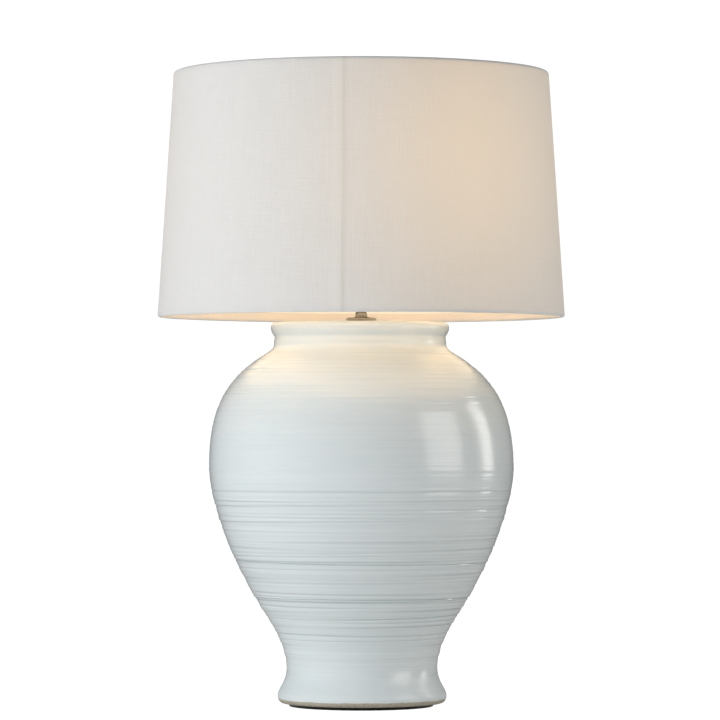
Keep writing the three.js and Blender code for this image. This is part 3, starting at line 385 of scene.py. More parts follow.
def swept(name, path, radius, sides=14, closed=False):
    """A round wire along a path of points."""
    path = [Vector(p) for p in path]
    count = len(path)
    rows = []
    side = None
    for i, point in enumerate(path):
        after = path[(i + 1) % count] if closed or i + 1 < count else path[i]
        before = path[i - 1] if closed or i else path[i]
        along = (after - before).normalized()
        if side is None:
            side = along.orthogonal().normalized()
        side = (side - along * side.dot(along)).normalized()
        other = along.cross(side)
        rows.append([point + radius * (math.cos(a) * side + math.sin(a) * other)
                     for a in (k * TWO_PI / sides for k in range(sides))])
    mesh = grid_mesh(name, np.array([[tuple(p) for p in row] for row in rows]), closed, True)
    if not closed:
        work = bmesh.new()
        work.from_mesh(mesh)
        bmesh.ops.holes_fill(work, edges=[e for e in work.edges if e.is_boundary])
        work.to_mesh(mesh)
        work.free()
    return tidy(mesh)


def bend(start, handle_a, handle_b, end, count):
    """Points of a cubic curve, in two or three dimensions, its start left out."""
    a, b, c, d = (np.array(p, float) for p in (start, handle_a, handle_b, end))
    t = np.linspace(0, 1, count + 1)[1:, None]
    curve = (1 - t) ** 3 * a + 3 * (1 - t) ** 2 * t * b + 3 * (1 - t) * t * t * c + t ** 3 * d
    return [tuple(p) for p in curve]


def merged(name, *meshes):
    """The meshes as one mesh."""
    work = bmesh.new()
    for mesh in meshes:
        work.from_mesh(mesh)
    whole = bpy.data.meshes.new(name)
    work.to_mesh(whole)
    work.free()
    return whole


def shifted(mesh, place):
    mesh.transform(Matrix.Translation(place))
    return mesh


def laid_down(mesh, level, facing=1):
    """A turned mesh with its axis laid along +Y at a level, or along -Y where facing is -1."""
    for vert in mesh.vertices:
        x, y, z = vert.co
        vert.co = (x, facing * z, level - facing * y)
    return mesh


# ---------------------------------------------------------------- vase

WALL = 5.5 * MM
FOOT_EDGE, FOOT_BULGE, FOOT_BULGE_HEIGHT = 88 * MM, 93.5 * MM, 8.2 * MM
RECESS, RECESS_RADIUS, FLOOR, ROD_HOLE = 12.4 * MM, 73 * MM, 9 * MM, 5.4 * MM
WAIST, WAIST_HEIGHT = 83.4 * MM, 39.2 * MM
FLANK, FLANK_HEIGHT, FLANK_SLOPE = 113 * MM, 108.4 * MM, 0.65
BELLY_HEIGHT, BELLY_FULLNESS = 260.4 * MM, 0.8
SHOULDER, SHOULDER_DROP, SHOULDER_ANGLE = 106 * MM, 35.3 * MM, math.radians(32)
SHOULDER_FULLNESS, SHOULDER_ROUND = 0.6, 0.55
NECK, NECK_DROP = 95.3 * MM, 23.2 * MM
GROOVE, GROOVE_DROP = 94.6 * MM, 16.2 * MM
RIM, RIM_DROP, RIM_CREST = 98.7 * MM, 5.4 * MM, 93.6 * MM
MOUTH, MOUTH_EDGE = 89 * MM, 4 * MM
LEDGE_DROP, LEDGE_WIDTH = 9 * MM, 5 * MM
LEAN = (1.0 * MM, 0.3 * MM, -1.4 * MM)  # of the thrown body at the foot, the belly and the rim
LEAN_LEVELS = (0, 0.6, 1)
RINGED = (0.08, 0.945)  # the shares of the height between which the rings lie
RING_STEP, VASE_SIDES = 0.85 * MM, 150


def vase_side(inset, neck, tall, belly_radius):
    """The body from the waist to the neck, drawn in by an inset for the inside."""
    run = math.hypot(FLANK_SLOPE, 1)
    along = np.array([FLANK_SLOPE / run, 1 / run])
    top = tall - SHOULDER_DROP
    waist = np.array([WAIST - inset, WAIST_HEIGHT])
    flank = np.array([FLANK - inset, FLANK_HEIGHT + inset * FLANK_SLOPE])
    belly = np.array([belly_radius - inset, BELLY_HEIGHT])
    shoulder = np.array([SHOULDER - inset, top - inset])
    low = (FLANK_HEIGHT - WAIST_HEIGHT) / 3
    mid = (BELLY_HEIGHT - FLANK_HEIGHT) / 3
    high = (top - BELLY_HEIGHT) * SHOULDER_FULLNESS
    up = np.array([0, 1])
    down = np.array([math.cos(SHOULDER_ANGLE), -math.sin(SHOULDER_ANGLE)])
    lift = (shoulder[0] - neck) * math.tan(SHOULDER_ANGLE)
    soft, corner = (neck + 3 * MM, shoulder[1] + lift * 0.7), (neck, shoulder[1] + lift)
    return [
        tuple(waist),
        *bend(waist, waist + up * low, flank - along * low, flank, 24),
        *bend(flank, flank + along * mid, belly - up * mid * BELLY_FULLNESS, belly, 40),
        *bend(belly, belly + up * high, shoulder + down * high * SHOULDER_ROUND, shoulder, 40),
        *bend(shoulder, soft, corner, (neck, tall - NECK_DROP - inset), 10),
    ]


def vase_outside(tall, belly_radius):
    """From the foot's edge up over the rim's crest."""
    bulge, waist = (FOOT_BULGE, FOOT_BULGE_HEIGHT), (WAIST, WAIST_HEIGHT)
    neck_low, neck_top, rim = (NECK, tall - NECK_DROP), tall - GROOVE_DROP, (RIM, tall - RIM_DROP)
    groove = (GROOVE, neck_top)
    return [
        (FOOT_EDGE, 0),
        *bend((FOOT_EDGE, 0), (FOOT_BULGE - 1.5 * MM, 0.6 * MM), (FOOT_BULGE, 5 * MM), bulge, 14),
        *bend(bulge, (FOOT_BULGE, 16 * MM), (WAIST, 23 * MM), waist, 20),
        *vase_side(0, NECK, tall, belly_radius)[1:],
        *bend(neck_low, (NECK, neck_top - 3 * MM), (GROOVE, neck_top - 2 * MM), groove, 8),
        *bend(groove, (GROOVE + 0.3 * MM, neck_top + 2.5 * MM), (RIM, tall - 11 * MM), rim, 14),
        *bend(rim, (RIM, tall - 2 * MM), (RIM_CREST + 3 * MM, tall), (RIM_CREST, tall), 12),
    ]


def vase_inside(tall, belly_radius):
    """From the rim's crest down the inside, and back to the foot's edge by the rod's hole."""
    ledge = tall - LEDGE_DROP
    throat = MOUTH - LEDGE_WIDTH
    floor_top = RECESS + FLOOR
    side = vase_side(WALL, throat, tall, belly_radius)[::-1]
    edge = 1.5 * MM
    return [
        *bend((RIM_CREST, tall), (MOUTH + edge, tall), (MOUTH, tall - edge), (MOUTH, tall - MOUTH_EDGE), 8),
        (MOUTH, ledge),
        (throat, ledge),
        *side[::6],
        (WAIST - WALL, floor_top),
        (ROD_HOLE, floor_top),
        (ROD_HOLE, RECESS),
        (RECESS_RADIUS - 2 * MM, RECESS),
        (RECESS_RADIUS, 0.4 * MM),
        (RECESS_RADIUS + 0.6 * MM, 0),
    ]


def evenly(outline, step):
    """The outline with points a step apart along its length."""
    points = np.array(outline)
    length = np.concatenate([[0], np.cumsum(np.linalg.norm(np.diff(points, axis=0), axis=1))])
    marks = np.linspace(0, length[-1], int(length[-1] / step) + 1)
    return np.stack([np.interp(marks, length, points[:, 0]), np.interp(marks, length, points[:, 1])], axis=1)


# Each band of throwing rings: from, to (share of the height), rings, depth and width in mm.
RING_BANDS = [
    (0.10, 0.17, 6, (0.05, 0.25), (0.5, 1.8)),
    (0.17, 0.36, 34, (0.1, 0.6), (0.4, 1.5)),
    (0.36, 0.56, 34, (0.08, 0.5), (0.4, 1.5)),
    (0.56, 0.78, 16, (0.05, 0.22), (0.4, 1.4)),
    (0.78, 0.925, 24, (0.08, 0.4), (0.4, 1.1)),
]

# The deep rings: height (share), depth and width in mm, and half of the turn they run round.
DEEP_RINGS = [
    (0.155, 0.4, 0.8, 2.2),
    (0.186, 0.5, 0.7, 1.4),
    (0.23, 0.75, 0.55, 3.2),
    (0.236, 0.4, 0.5, 1.2),
    (0.278, 0.95, 0.55, 3.2),
    (0.286, 0.4, 0.7, 1.7),
    (0.327, 0.5, 0.8, 1.5),
    (0.366, 0.4, 0.6, 1.4),
    (0.373, 0.95, 0.5, 3.2),
    (0.379, 0.45, 0.5, 1.9),
    (0.433, 0.55, 0.7, 2.2),
    (0.481, 0.5, 0.9, 1.3),
    (0.491, 0.45, 0.6, 2.0),
    (0.524, 0.5, 0.6, 1.4),
    (0.533, 0.6, 0.6, 2.4),
    (0.62, 0.25, 0.6, 1.6),
    (0.735, 0.25, 0.6, 1.5),
    (0.812, 0.35, 0.6, 2.0),
]


def throwing_rings(height, turn, tall):
    """How far each point stands proud of the outline, in metres, and how deep its groove is, from 0 to 1."""
    draw = np.random.default_rng(11)
    rings = list(DEEP_RINGS)
    for low, high, count, depths, widths in RING_BANDS:
        for i in range(count):
            share = low + (high - low) * (i + draw.uniform(0.15, 0.85)) / count
            rings.append((share, draw.uniform(*depths), draw.uniform(*widths), draw.uniform(0.7, 3.4)))
    proud = np.zeros(np.broadcast(height, turn).shape)
    depth_at = np.zeros_like(proud)
    for share, depth, width, reach in rings:
        tilt = draw.uniform(-1, 1) * 1.8 * MM
        phase, middle = draw.uniform(0, TWO_PI, 2)
        away = np.abs((turn - middle + math.pi) % TWO_PI - math.pi)
        here = 1 / (1 + np.exp(np.clip((away - reach) * 5, -30, 30)))
        off = (height - share * tall - tilt * np.sin(turn + phase)) / (width * MM)
        notch = np.exp(-off * off) * here * depth
        lip = np.exp(-((off - 1.9) / 1.5) ** 2) * here * depth * 0.45
        proud += (lip - notch) * MM
        depth_at += notch
    swell = np.arange(0, tall + 40 * MM, 7 * MM)
    lower = 1 / (1 + np.exp((height / tall - 0.58) * 22))
    for size, seed in ((0.42 * MM, 3), (0.25 * MM, 4)):
        wave = np.random.default_rng(seed).uniform(-1, 1, len(swell))
        run = height * (1 if seed == 3 else 2.1) % (tall * 1.02) + 1.6 * MM * np.sin(turn + seed)
        proud += np.interp(run, swell, wave) * size * (0.25 + 0.75 * lower)
    # The foot, the rim and the neck are wiped smooth.
    smooth = 1 / (1 + np.exp(-(height / tall - 0.105) * 160)) / (1 + np.exp((height / tall - 0.93) * 200))
    return proud * smooth, np.clip(depth_at * smooth, 0, 1)


def make_vase():
    """The thrown body with its rings, a slight lean and the cable's hole."""
    low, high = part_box("ceramic_vase")
    tall, belly_radius = high.z - low.z, high.x
    outside = vase_outside(tall, belly_radius)
    ring_low, ring_high = RINGED[0] * tall, RINGED[1] * tall
    ringed = evenly([p for p in outside if ring_low < p[1] < ring_high], RING_STEP)
    foot = [p for p in outside[: len(outside) // 2] if p[1] <= ring_low]
    rim = [p for p in outside if p[1] >= ring_high]
    outer = np.array([*foot, *ringed, *rim])
    inner = np.array(vase_inside(tall, belly_radius))
    outline = np.concatenate([outer, inner])
    turns = np.arange(VASE_SIDES) * TWO_PI / VASE_SIDES
    slope = np.gradient(outline, axis=0)
    normal = np.stack([slope[:, 1], -slope[:, 0]], axis=1)
    normal /= np.linalg.norm(normal, axis=1)[:, None] + 1e-12
    proud, groove = throwing_rings(outline[:, 1:], turns[None, :], tall)
    proud[len(outer):] = 0
    groove[len(outer):] = 0
    radius = outline[:, :1] + normal[:, :1] * proud
    height = outline[:, 1:] + normal[:, 1:] * proud + low.z
    lean = np.interp(outline[:, 1:] / tall, LEAN_LEVELS, LEAN)
    lean[len(outer):] = 0
    points = np.stack([radius * np.cos(turns) + lean, radius * np.sin(turns), height], axis=2)
    mesh = grid_mesh("ceramic_vase_thrown", points, True, True)
    mesh.attributes.new("groove", "FLOAT", "POINT").data.foreach_set("value", groove.ravel())
    face_outwards(mesh)
    vase = finish_mesh("vase_body", mesh, "base", glaze_material(low.z), ["ceramic_vase"], 60)
    drill_inlet(vase)


def drill_inlet(vase):
    """The cable hole through the back of the foot, with a flat face around its mouth."""
    low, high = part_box("cable_grommet")
    centre = (low.z + high.z) / 2
    seat = high.x + 0.3 * MM
    face = high.y - 2.2 * MM
    hole = high.x - 1.4 * MM
    start, end = low.y - 12 * MM, high.y + 12 * MM
    outline = [(0, start), (hole, start), (hole, face), (seat, face), (seat, end), (0, end)]
    mesh = face_outwards(laid_down(turned("inlet_drill", outline, 48), centre))
    drill = bpy.data.objects.new("inlet_drill", mesh)
    scene.collection.objects.link(drill)
    modifier = vase.modifiers.new("inlet", "BOOLEAN")
    modifier.operation, modifier.solver, modifier.object = "DIFFERENCE", "EXACT", drill
    settled = bpy.data.meshes.new_from_object(vase.evaluated_get(bpy.context.evaluated_depsgraph_get()))
    vase.modifiers.clear()
    vase.data = settled
    bpy.data.objects.remove(drill)


# ---------------------------------------------------------------- shade

SHADE_TOP_RADIUS = 207.5 * MM
FABRIC = 0.8 * MM
SEAM_TURN = FRONT - math.radians(7.4)
SEAM_WIDTH = 11 * MM


def make_shade_cover():
    """Linen stretched round the frame: rolled over both wire rings, with an overlapped upright seam."""
    low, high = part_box("shade_fabric")
    top_radius = SHADE_TOP_RADIUS
    bottom_radius = high.x
    tall = high.z - low.z
    roll = 2.6 * MM
    tuck = 8 * MM

    def radius_at(level):
        return bottom_radius + (top_radius - bottom_radius) * level / tall

    outer = [(radius_at(z), z) for z in np.linspace(roll, tall - roll, 46)]
    top_centre = (radius_at(tall) - roll, tall - roll)
    low_centre = (radius_at(0) - roll, roll)
    over = arc(top_centre, roll, 12, 180, 9)
    tucked = tall - roll - tuck
    inner_top = [(top_centre[0] - roll, tucked), (top_centre[0] - roll + FABRIC, tucked)]
    under_top = arc(top_centre, roll - FABRIC, 180, 12, 7)
    inner = [(radius_at(z) - FABRIC, z) for z in np.linspace(tall - roll, roll, 24)]
    under_low = arc(low_centre, roll - FABRIC, -12, -180, 7)
    inner_low = [(low_centre[0] - roll + FABRIC, roll + tuck), (low_centre[0] - roll, roll + tuck)]
    below = arc(low_centre, roll, -180, -12, 9)
    outline = np.array([*outer, *over, *inner_top, *under_top, *inner, *under_low, *inner_low, *below])
    steps = 252
    even = np.arange(steps) * TWO_PI / steps
    step_width = SEAM_WIDTH / bottom_radius
    fold = 1.1 * MM / bottom_radius
    marks = [SEAM_TURN - fold, SEAM_TURN, SEAM_TURN + step_width, SEAM_TURN + step_width + fold]
    keep = [t for t in even if all(abs((t - m + math.pi) % TWO_PI - math.pi) > 0.006 for m in marks)]
    turns = np.sort(np.array([*keep, *[m % TWO_PI for m in marks]]))
    offset = (turns - SEAM_TURN + math.pi) % TWO_PI - math.pi
    lapped = ((offset >= -1e-9) & (offset <= step_width + 1e-9)).astype(float) * 0.16 * MM
    wander = 0.22 * MM * (np.sin(turns * 5 + 1) + 0.6 * np.sin(turns * 11 + 2) + 0.4 * np.sin(turns * 23))
    outside = np.zeros(len(outline))
    outside[: len(outer) + 5] = 1
    outside[-5:] = 1
    level = outline[:, 1:] / tall
    oval = 0.5 * MM * np.sin(turns * 2 + 0.7)[None, :] * (1 - level)
    ripple = wander[None, :] * (4 * level * (1 - level)) + oval
    radius = outline[:, :1] + ripple * 0.5 + lapped[None, :] * outside[:, None]
    sag = 0.35 * MM * np.sin(turns * 2 + 2.2)[None, :] * np.clip(1 - level * 3, 0, 1)
    height = outline[:, 1:] + sag + low.z
    height = np.clip(height, low.z, high.z)
    points = np.stack([radius * np.cos(turns), radius * np.sin(turns), height], axis=2)
    mesh = grid_mesh("shade_cover", points, True, True)
    add_cloth_coordinates(mesh, bottom_radius)
    face_outwards(mesh)
    linen = linen_material(low, high)
    cover = finish_mesh("shade_cover", mesh, "shade", linen, ["shade_fabric"], 70)


def add_cloth_coordinates(mesh, radius):
    """UV in metres: along the circumference from the back, and up."""
    layer = mesh.uv_layers.new(name="cloth")
    for polygon in mesh.polygons:
        spots = [mesh.vertices[mesh.loops[i].vertex_index].co for i in polygon.loop_indices]
        turns = [math.atan2(p.x, -p.y) for p in spots]
        if max(turns) - min(turns) > math.pi:
            turns = [t + TWO_PI if t < 0 else t for t in turns]
        for index, spot, turn in zip(polygon.loop_indices, spots, turns):
            layer.data[index].uv = (turn * radius, spot.z)


def make_liner():
    low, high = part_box("shade_liner")
    cover_low, cover_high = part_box("shade_fabric")
    sheet = 0.5 * MM
    tall = cover_high.z - cover_low.z
    slope = (SHADE_TOP_RADIUS - cover_high.x) / tall
    outside = [(high.x + slope * (z - low.z), z) for z in np.linspace(low.z, high.z, 20)]
    inside = [(r - sheet, z) for r, z in outside[::-1]]
    mesh = turned("shade_liner_sheet", [*outside, *inside], 180)
    finish_mesh("liner_sheet", mesh, "shade", liner_material(), ["shade_liner"])


def circle(radius, height, count=160):
    return [(radius * math.cos(a), radius * math.sin(a), height) for a in np.arange(count) * TWO_PI / count]


def make_spider(metal):
    """Top ring, three arms and a stamped hub, joined by welds."""
    low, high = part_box("spider_frame")
    wire = 1.8 * MM
    reach = high.y - wire
    ring_level = high.z - wire
    hub_low = low.z + 0.4 * MM
    thick = 2.4 * MM
    arm_level = hub_low + thick / 2
    level = reach * 0.8
    upturn = level + (reach - level) * 0.5
    corner = (level, arm_level)
    bead = [(0, -2 * MM), (1.6 * MM, -1.5 * MM), (2.3 * MM, 0), (1.6 * MM, 1.5 * MM), (0, 2 * MM)]
    parts = [swept("ring", circle(reach, ring_level), wire, 12, closed=True)]
    for i in range(3):
        turn = math.pi / 2 + i * TWO_PI / 3
        route = [(10 * MM, arm_level), corner]
        route += bend(corner, (upturn, arm_level), (upturn, ring_level), (reach, ring_level), 14)
        points = [(r * math.cos(turn), r * math.sin(turn), z) for r, z in route]
        parts.append(swept("arm", points, 1.6 * MM, 12))
        weld = Vector((reach * math.cos(turn), reach * math.sin(turn), ring_level))
        parts.append(shifted(turned("weld", bead, 14), weld * (1 - 1.5 * MM / reach)))
    hole = 3.4 * MM
    hub = [(hole, hub_low), (14.4 * MM, hub_low), (15 * MM, hub_low + 0.6 * MM),
           (15 * MM, hub_low + 1.8 * MM), (14.4 * MM, hub_low + thick), (9.4 * MM, hub_low + thick),
           (9 * MM, hub_low + thick - 0.25 * MM), (hole, hub_low + thick - 0.25 * MM)]
    parts.append(turned("hub", hub, 64))
    mesh = merged("spider", *parts)
    finish_mesh("spider", mesh, "shade", metal, ["spider_frame"])


def make_bottom_ring(metal):
    low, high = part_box("bottom_wire_ring")
    wire = (high.z - low.z) / 2 * 1.05
    mesh = swept("bottom_ring", circle(high.x - wire, (low.z + high.z) / 2), wire, 12, closed=True)
    finish_mesh("bottom_ring", mesh, "shade", metal, ["bottom_wire_ring"])


# ---------------------------------------------------------------- turned metal


def rounded(inner, outer, low, high, edge, steps=4):
    """A washer's outline with its outer edges rounded."""
    points = [(inner, low), *arc((outer - edge, low + edge), edge, -90, 0, steps)]
    return [*points, *arc((outer - edge, high - edge), edge, 0, 90, steps), (inner, high)]


def make_neck(metal, cap_metal):
    hole = 5.0 * MM
    low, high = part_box("check_ring")
    r = high.x
    bead = 1.2 * MM
    outline = [
        (hole, low.z), (r - 1.4 * MM, low.z), *arc((r - bead, low.z + bead), bead, -90, 0, 5),
        (r, low.z + 3.2 * MM), (r - 0.7 * MM, low.z + 3.6 * MM), (r - 0.7 * MM, high.z - 3.4 * MM),
        (r, high.z - 3 * MM), *arc((r - bead, high.z - bead), bead, 0, 90, 5), (hole, high.z)]
    turned_piece("check_ring_turned", outline, 96, "base", metal, "check_ring")
    low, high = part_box("neck_flange")
    outline = rounded(hole, high.x, low.z, high.z, 0.25 * MM, 3)
    turned_piece("flange_turned", outline, 64, "base", metal, "neck_flange")
    low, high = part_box("domed_nut")
    r, tall = high.x, high.z - low.z
    brow = (r, low.z + tall * 0.3)
    dome = bend(brow, (r, low.z + tall * 0.75), (hole + 1.3 * MM, high.z), (hole + 0.4 * MM, high.z), 14)
    outline = [(hole, low.z), (r - 0.3 * MM, low.z), (r, low.z + 0.3 * MM), brow, *dome, (hole, high.z)]
    turned_piece("domed_nut_turned", outline, 64, "base", metal, "domed_nut")
    low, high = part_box("vase_cap")
    r, base, sheet = high.x, low.z, 1.2 * MM
    skirt = r - 5 * MM
    edge = (skirt, base + sheet)
    rise = bend(edge, (skirt - 14 * MM, base + sheet + 0.2 * MM), (r * 0.6, high.z), (r * 0.35, high.z), 14)
    drop = [(p[0], p[1] - sheet) for p in rise[::-1]]
    outline = [(hole, high.z - sheet), *drop, (skirt, base), (r - 0.4 * MM, base), (r, base + 0.4 * MM),
               (r, base + sheet - 0.3 * MM), (r - 0.3 * MM, base + sheet), edge, *rise, (hole, high.z)]
    turned_piece("vase_cap_spun", outline, 120, "base", cap_metal, "vase_cap")


def make_nut(name, node, metal, hole):
    """A hexagon with its corners chamfered top and bottom."""
    low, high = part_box(node)
    flat = (high.y - low.y) / 2
    chamfer = 0.5 * MM
    corner = flat / math.cos(math.pi / 6)

    def hexagon(turn, radius, height):
        side = flat / np.cos((turn % (math.pi / 3)) - math.pi / 6)
        return np.where(radius > hole * 1.01, np.minimum(radius, side), radius)

    outline = [(hole, low.z), (flat - chamfer, low.z), (corner, low.z + chamfer), (corner, high.z - chamfer),
               (flat - chamfer, high.z), (hole, high.z)]
    finish_mesh(name, turned(name, outline, 96, hexagon), "base", metal, [node], 25)


def make_harp(metal):
    low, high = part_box("harp_bow")
    sleeve_low, sleeve_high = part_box("harp_sleeve_right")
    spread = (sleeve_low.x + sleeve_high.x) / 2
    tall, bulge, wire = high.z - low.z, high.x - 2 * MM, 2 * MM
    boss = 5.5 * MM
    crown = high.z - boss / 2
    widest = low.z + tall * 0.5
    straight = low.z + 26 * MM
    parts = []
    for s in (-1, 1):
        near, out = s * spread, s * bulge
        leg = [(near, low.z), (near, straight)]
        leg += bend(leg[-1], (near, straight + tall * 0.12), (out, widest - tall * 0.2), (out, widest), 24)
        leg += bend(leg[-1], (out, crown - tall * 0.16), (out * 0.55, crown), (s * 3.5 * MM, crown), 30)
        parts.append(swept("leg", [(x, 0, z) for x, z in leg], wire, 16))
    outline = rounded(2.9 * MM, 7 * MM, high.z - boss, high.z, 0.6 * MM)
    parts.append(turned("boss", outline, 48))
    finish_mesh("harp_wire", merged("harp_wire", *parts), "base", metal, ["harp_bow"])
    for side in ("left", "right"):
        low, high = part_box("harp_sleeve_" + side)
        outline = rounded(2.35 * MM, (high.x - low.x) / 2, low.z, high.z, 0.6 * MM)
        outline += [(2.35 * MM, low.z + (high.z - low.z) / 2)]
        mesh = shifted(turned("sleeve", outline, 40), Vector(((low.x + high.x) / 2, 0, 0)))
        finish_mesh("sleeve_" + side, mesh, side + "_sleeve", metal, ["harp_sleeve_" + side])
    make_stud(metal)


def make_stud(metal):
    low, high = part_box("harp_stud")
    shoulder = high.z - 14.5 * MM
    head = low.z + 2 * MM
    pin, thread, pitch = 2.6 * MM, 3.1 * MM, 0.94 * MM
    outline = [(0, low.z), (3.2 * MM, low.z), (4.2 * MM, low.z + 0.9 * MM), (4.2 * MM, head), (pin, head),
               (pin, shoulder - 4 * MM), *rounded(pin, 8 * MM, shoulder - 4 * MM, shoulder, 0.5 * MM)[1:-1]]
    level = shoulder + 0.2 * MM
    outline.append((thread - 0.4 * MM, shoulder))
    while level < high.z - 1.4 * MM:
        outline += [(thread - 0.45 * MM, level), (thread, level + pitch / 2)]
        level += pitch
    outline += [(thread - 0.6 * MM, high.z - 0.4 * MM), (thread - 1 * MM, high.z), (0, high.z)]
    turned_piece("stud_turned", outline, 48, "harp_top", metal, "harp_stud", 20)


def make_finial(metal):
    low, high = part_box("finial")
    r = high.x
    bore = 3.35 * MM
    ball = 6.6 * MM
    centre = high.z - ball
    outline = [(0, high.z - 3.5 * MM), (bore, high.z - 3.5 * MM), (bore, low.z), (r - 0.4 * MM, low.z),
               *arc((r - 0.9 * MM, low.z + 0.9 * MM), 0.9 * MM, -45, 90, 6),
               (5.2 * MM, low.z + 2.2 * MM), (4.4 * MM, low.z + 3 * MM), (4.4 * MM, low.z + 3.8 * MM),
               *arc((0, centre), ball, -46, 90, 26)]
    turned_piece("finial_turned", outline, 80, "finial", metal, "finial")


# ---------------------------------------------------------------- lampholder and bulb


def make_lampholder(brass):
    low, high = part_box("socket_cap")
    r, hole = high.x, 5.1 * MM
    wall, neck = 1 * MM, 8.1 * MM
    body = bend((10.5 * MM, low.z + 4.6 * MM), (15 * MM, low.z + 5 * MM), (r, low.z + 8 * MM),
                (r, low.z + 13 * MM), 14)
    lining = [(p[0] - wall * 0.8, p[1] + wall * 0.8) for p in body[::-1]]
    outline = [(hole, low.z), (7.6 * MM, low.z), (neck, low.z + 0.5 * MM), (neck, low.z + 4.2 * MM), *body,
               (r, high.z - 2 * MM), (r, high.z - 0.3 * MM), (r - 0.3 * MM, high.z), (r - wall, high.z),
               *lining, (neck, low.z + 8 * MM), (hole, low.z + 8 * MM)]
    turned_piece("socket_cap_spun", outline, 80, "base", brass, "socket_cap")
    low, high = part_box("socket_shell")
    r, sheet = 17 * MM, 0.8 * MM
    flare = high.x
    lip = high.z - 4 * MM
    mouth = bend((r, high.z - 6 * MM), (r, lip), (flare, lip), (flare, high.z - 2 * MM), 8)
    outer = [(r, low.z)]
    for i in range(5):
        level = low.z + (9 + 5 * i) * MM
        outer += [(r, level - 0.8 * MM), (r - 0.3 * MM, level), (r, level + 0.8 * MM)]
    outer += [(r, high.z - 6 * MM), *mouth, (flare, high.z)]
    outline = [*outer, *[(p[0] - sheet, p[1]) for p in outer[::-1]]]
    turned_piece("socket_shell_spun", outline, 80, "base", brass, "socket_shell")
    make_knob(brass)


def make_knob(brass):
    """A fluted turn knob with a domed end on a round shaft."""
    low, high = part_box("switch_knob")
    grip = (high.x - low.x) / 2
    centre = (low.z + high.z) / 2
    front, back = -low.y, -high.y
    root = front - 12 * MM
    shaft = 2 * MM

    def flutes(turn, radius, height):
        wave = 0.5 - 0.5 * np.cos(turn * 16)
        depth = np.where(radius > shaft * 1.6, 0.55 * MM, 0) * np.where(height < front - 1.2 * MM, 1, 0.2)
        return radius - wave ** 2 * depth

    outline = [(0, back), (shaft, back), (shaft, root), (grip - 1 * MM, root), (grip, root + 0.8 * MM),
               (grip, front - 1.6 * MM), *arc((grip - 1.6 * MM, front - 1.6 * MM), 1.6 * MM, 0, 80, 6),
               (grip * 0.4, front - 0.05 * MM), (0, front)]
    mesh = laid_down(turned("knob_fluted", outline, 128, flutes), centre, -1)
    finish_mesh("knob_fluted", tidy(mesh), "switch", brass, ["switch_knob"])


def make_bulb(plastic, opal):
    low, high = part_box("bulb_diffuser")
    r, seam = high.x, low.z
    wall = 1.2 * MM
    equator = seam + 11 * MM

    def half(radius, top):
        crown = top - equator
        curve = bend((radius, equator), (radius, equator + crown * 0.55), (radius * 0.55, top), (0, top), 22)
        return [(radius - 0.1 * MM, seam), (radius, seam + 4 * MM), (radius, equator), *curve]

    outline = [*half(r, high.z)[::-1], *half(r - wall, high.z - wall)]
    dome = turned_piece("bulb_dome", outline, 72, "bulb", opal, "bulb_diffuser")
    dome.visible_shadow = False
    glow = bpy.data.lights.new("bulb_light", "POINT")
    glow.shadow_soft_size = 26 * MM
    glow.energy, glow.color = 1.8, (1.0, 0.54, 0.2)
    lit = bpy.data.objects.new("bulb_light", glow)
    lit.location = (0, 0, high.z - 30 * MM)
    lit.visible_camera = lit.visible_glossy = False
    scene.collection.objects.link(lit)
    low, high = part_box("bulb_body")
    plug, collar = 11.2 * MM, low.z + 10.1 * MM
    rise = high.z - collar
    inside = plug - 1.5 * MM
    flare = bend((13.2 * MM, collar + 0.8 * MM), (15 * MM, collar + rise * 0.3),
                 (high.x * 0.97, collar + rise * 0.55), (high.x, high.z - 0.5 * MM), 18)
    outline = [(plug, low.z), (plug, collar), (13.2 * MM, collar), *flare, (high.x - 0.3 * MM, high.z),
               (high.x - 1.5 * MM, high.z), (high.x - 1.9 * MM, high.z - 4 * MM),
               (high.x - 4.4 * MM, high.z - 4 * MM), (high.x * 0.62, collar + rise * 0.42),
               (inside, collar + 1.5 * MM), (inside, low.z)]
    turned_piece("bulb_collar", outline, 72, "bulb", plastic, "bulb_body")


# ---------------------------------------------------------------- foot


def make_foot(felt, rubber):
    low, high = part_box("felt_foot_pad")
    r = high.x
    outline = [(0, low.z), (r - 0.6 * MM, low.z), *arc((r - 0.6 * MM, low.z + 0.6 * MM), 0.6 * MM, -80, 0, 4),
               (r, high.z - 0.3 * MM), (r - 0.3 * MM, high.z), (0, high.z)]
    fuzz = np.random.default_rng(5).uniform(-0.12, 0.12, 256) * MM

    def ragged(turn, radius, height):
        return radius + np.where(radius > r * 0.9, fuzz[: turn.shape[1]], 0)

    mesh = turned("foot_pad_felt", outline, 200, ragged)
    finish_mesh("foot_pad_felt", mesh, "base", felt, ["felt_foot_pad"])
    low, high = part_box("cable_grommet")
    centre = (low.z + high.z) / 2
    bore, tube, flange = 3.5 * MM, 4.7 * MM, high.x
    lip = 1.8 * MM
    outline = [(bore, low.y), (tube, low.y), (tube, high.y - lip), (flange, high.y - lip),
               *arc((flange - 0.8 * MM, high.y - 0.8 * MM), 0.8 * MM, 0, 90, 6),
               *arc((bore + 0.7 * MM, high.y - 0.7 * MM), 0.7 * MM, 90, 180, 5)]
    mesh = laid_down(turned("inlet_bush", outline, 48), centre)
    finish_mesh("inlet_bush", tidy(mesh), "base", rubber, ["cable_grommet"])


# ---------------------------------------------------------------- stage, light and camera


def area_light(name, place, target, width, height, power, color):
    data = bpy.data.lights.new(name, "AREA")
    data.shape, data.size, data.size_y = "RECTANGLE", width, height
    data.energy, data.color = power, color
    lamp = bpy.data.objects.new(name, data)
    lamp.location = place
    lamp.rotation_euler = (Vector(target) - Vector(place)).to_track_quat("-Z", "Y").to_euler()
    scene.collection.objects.link(lamp)
    return lamp


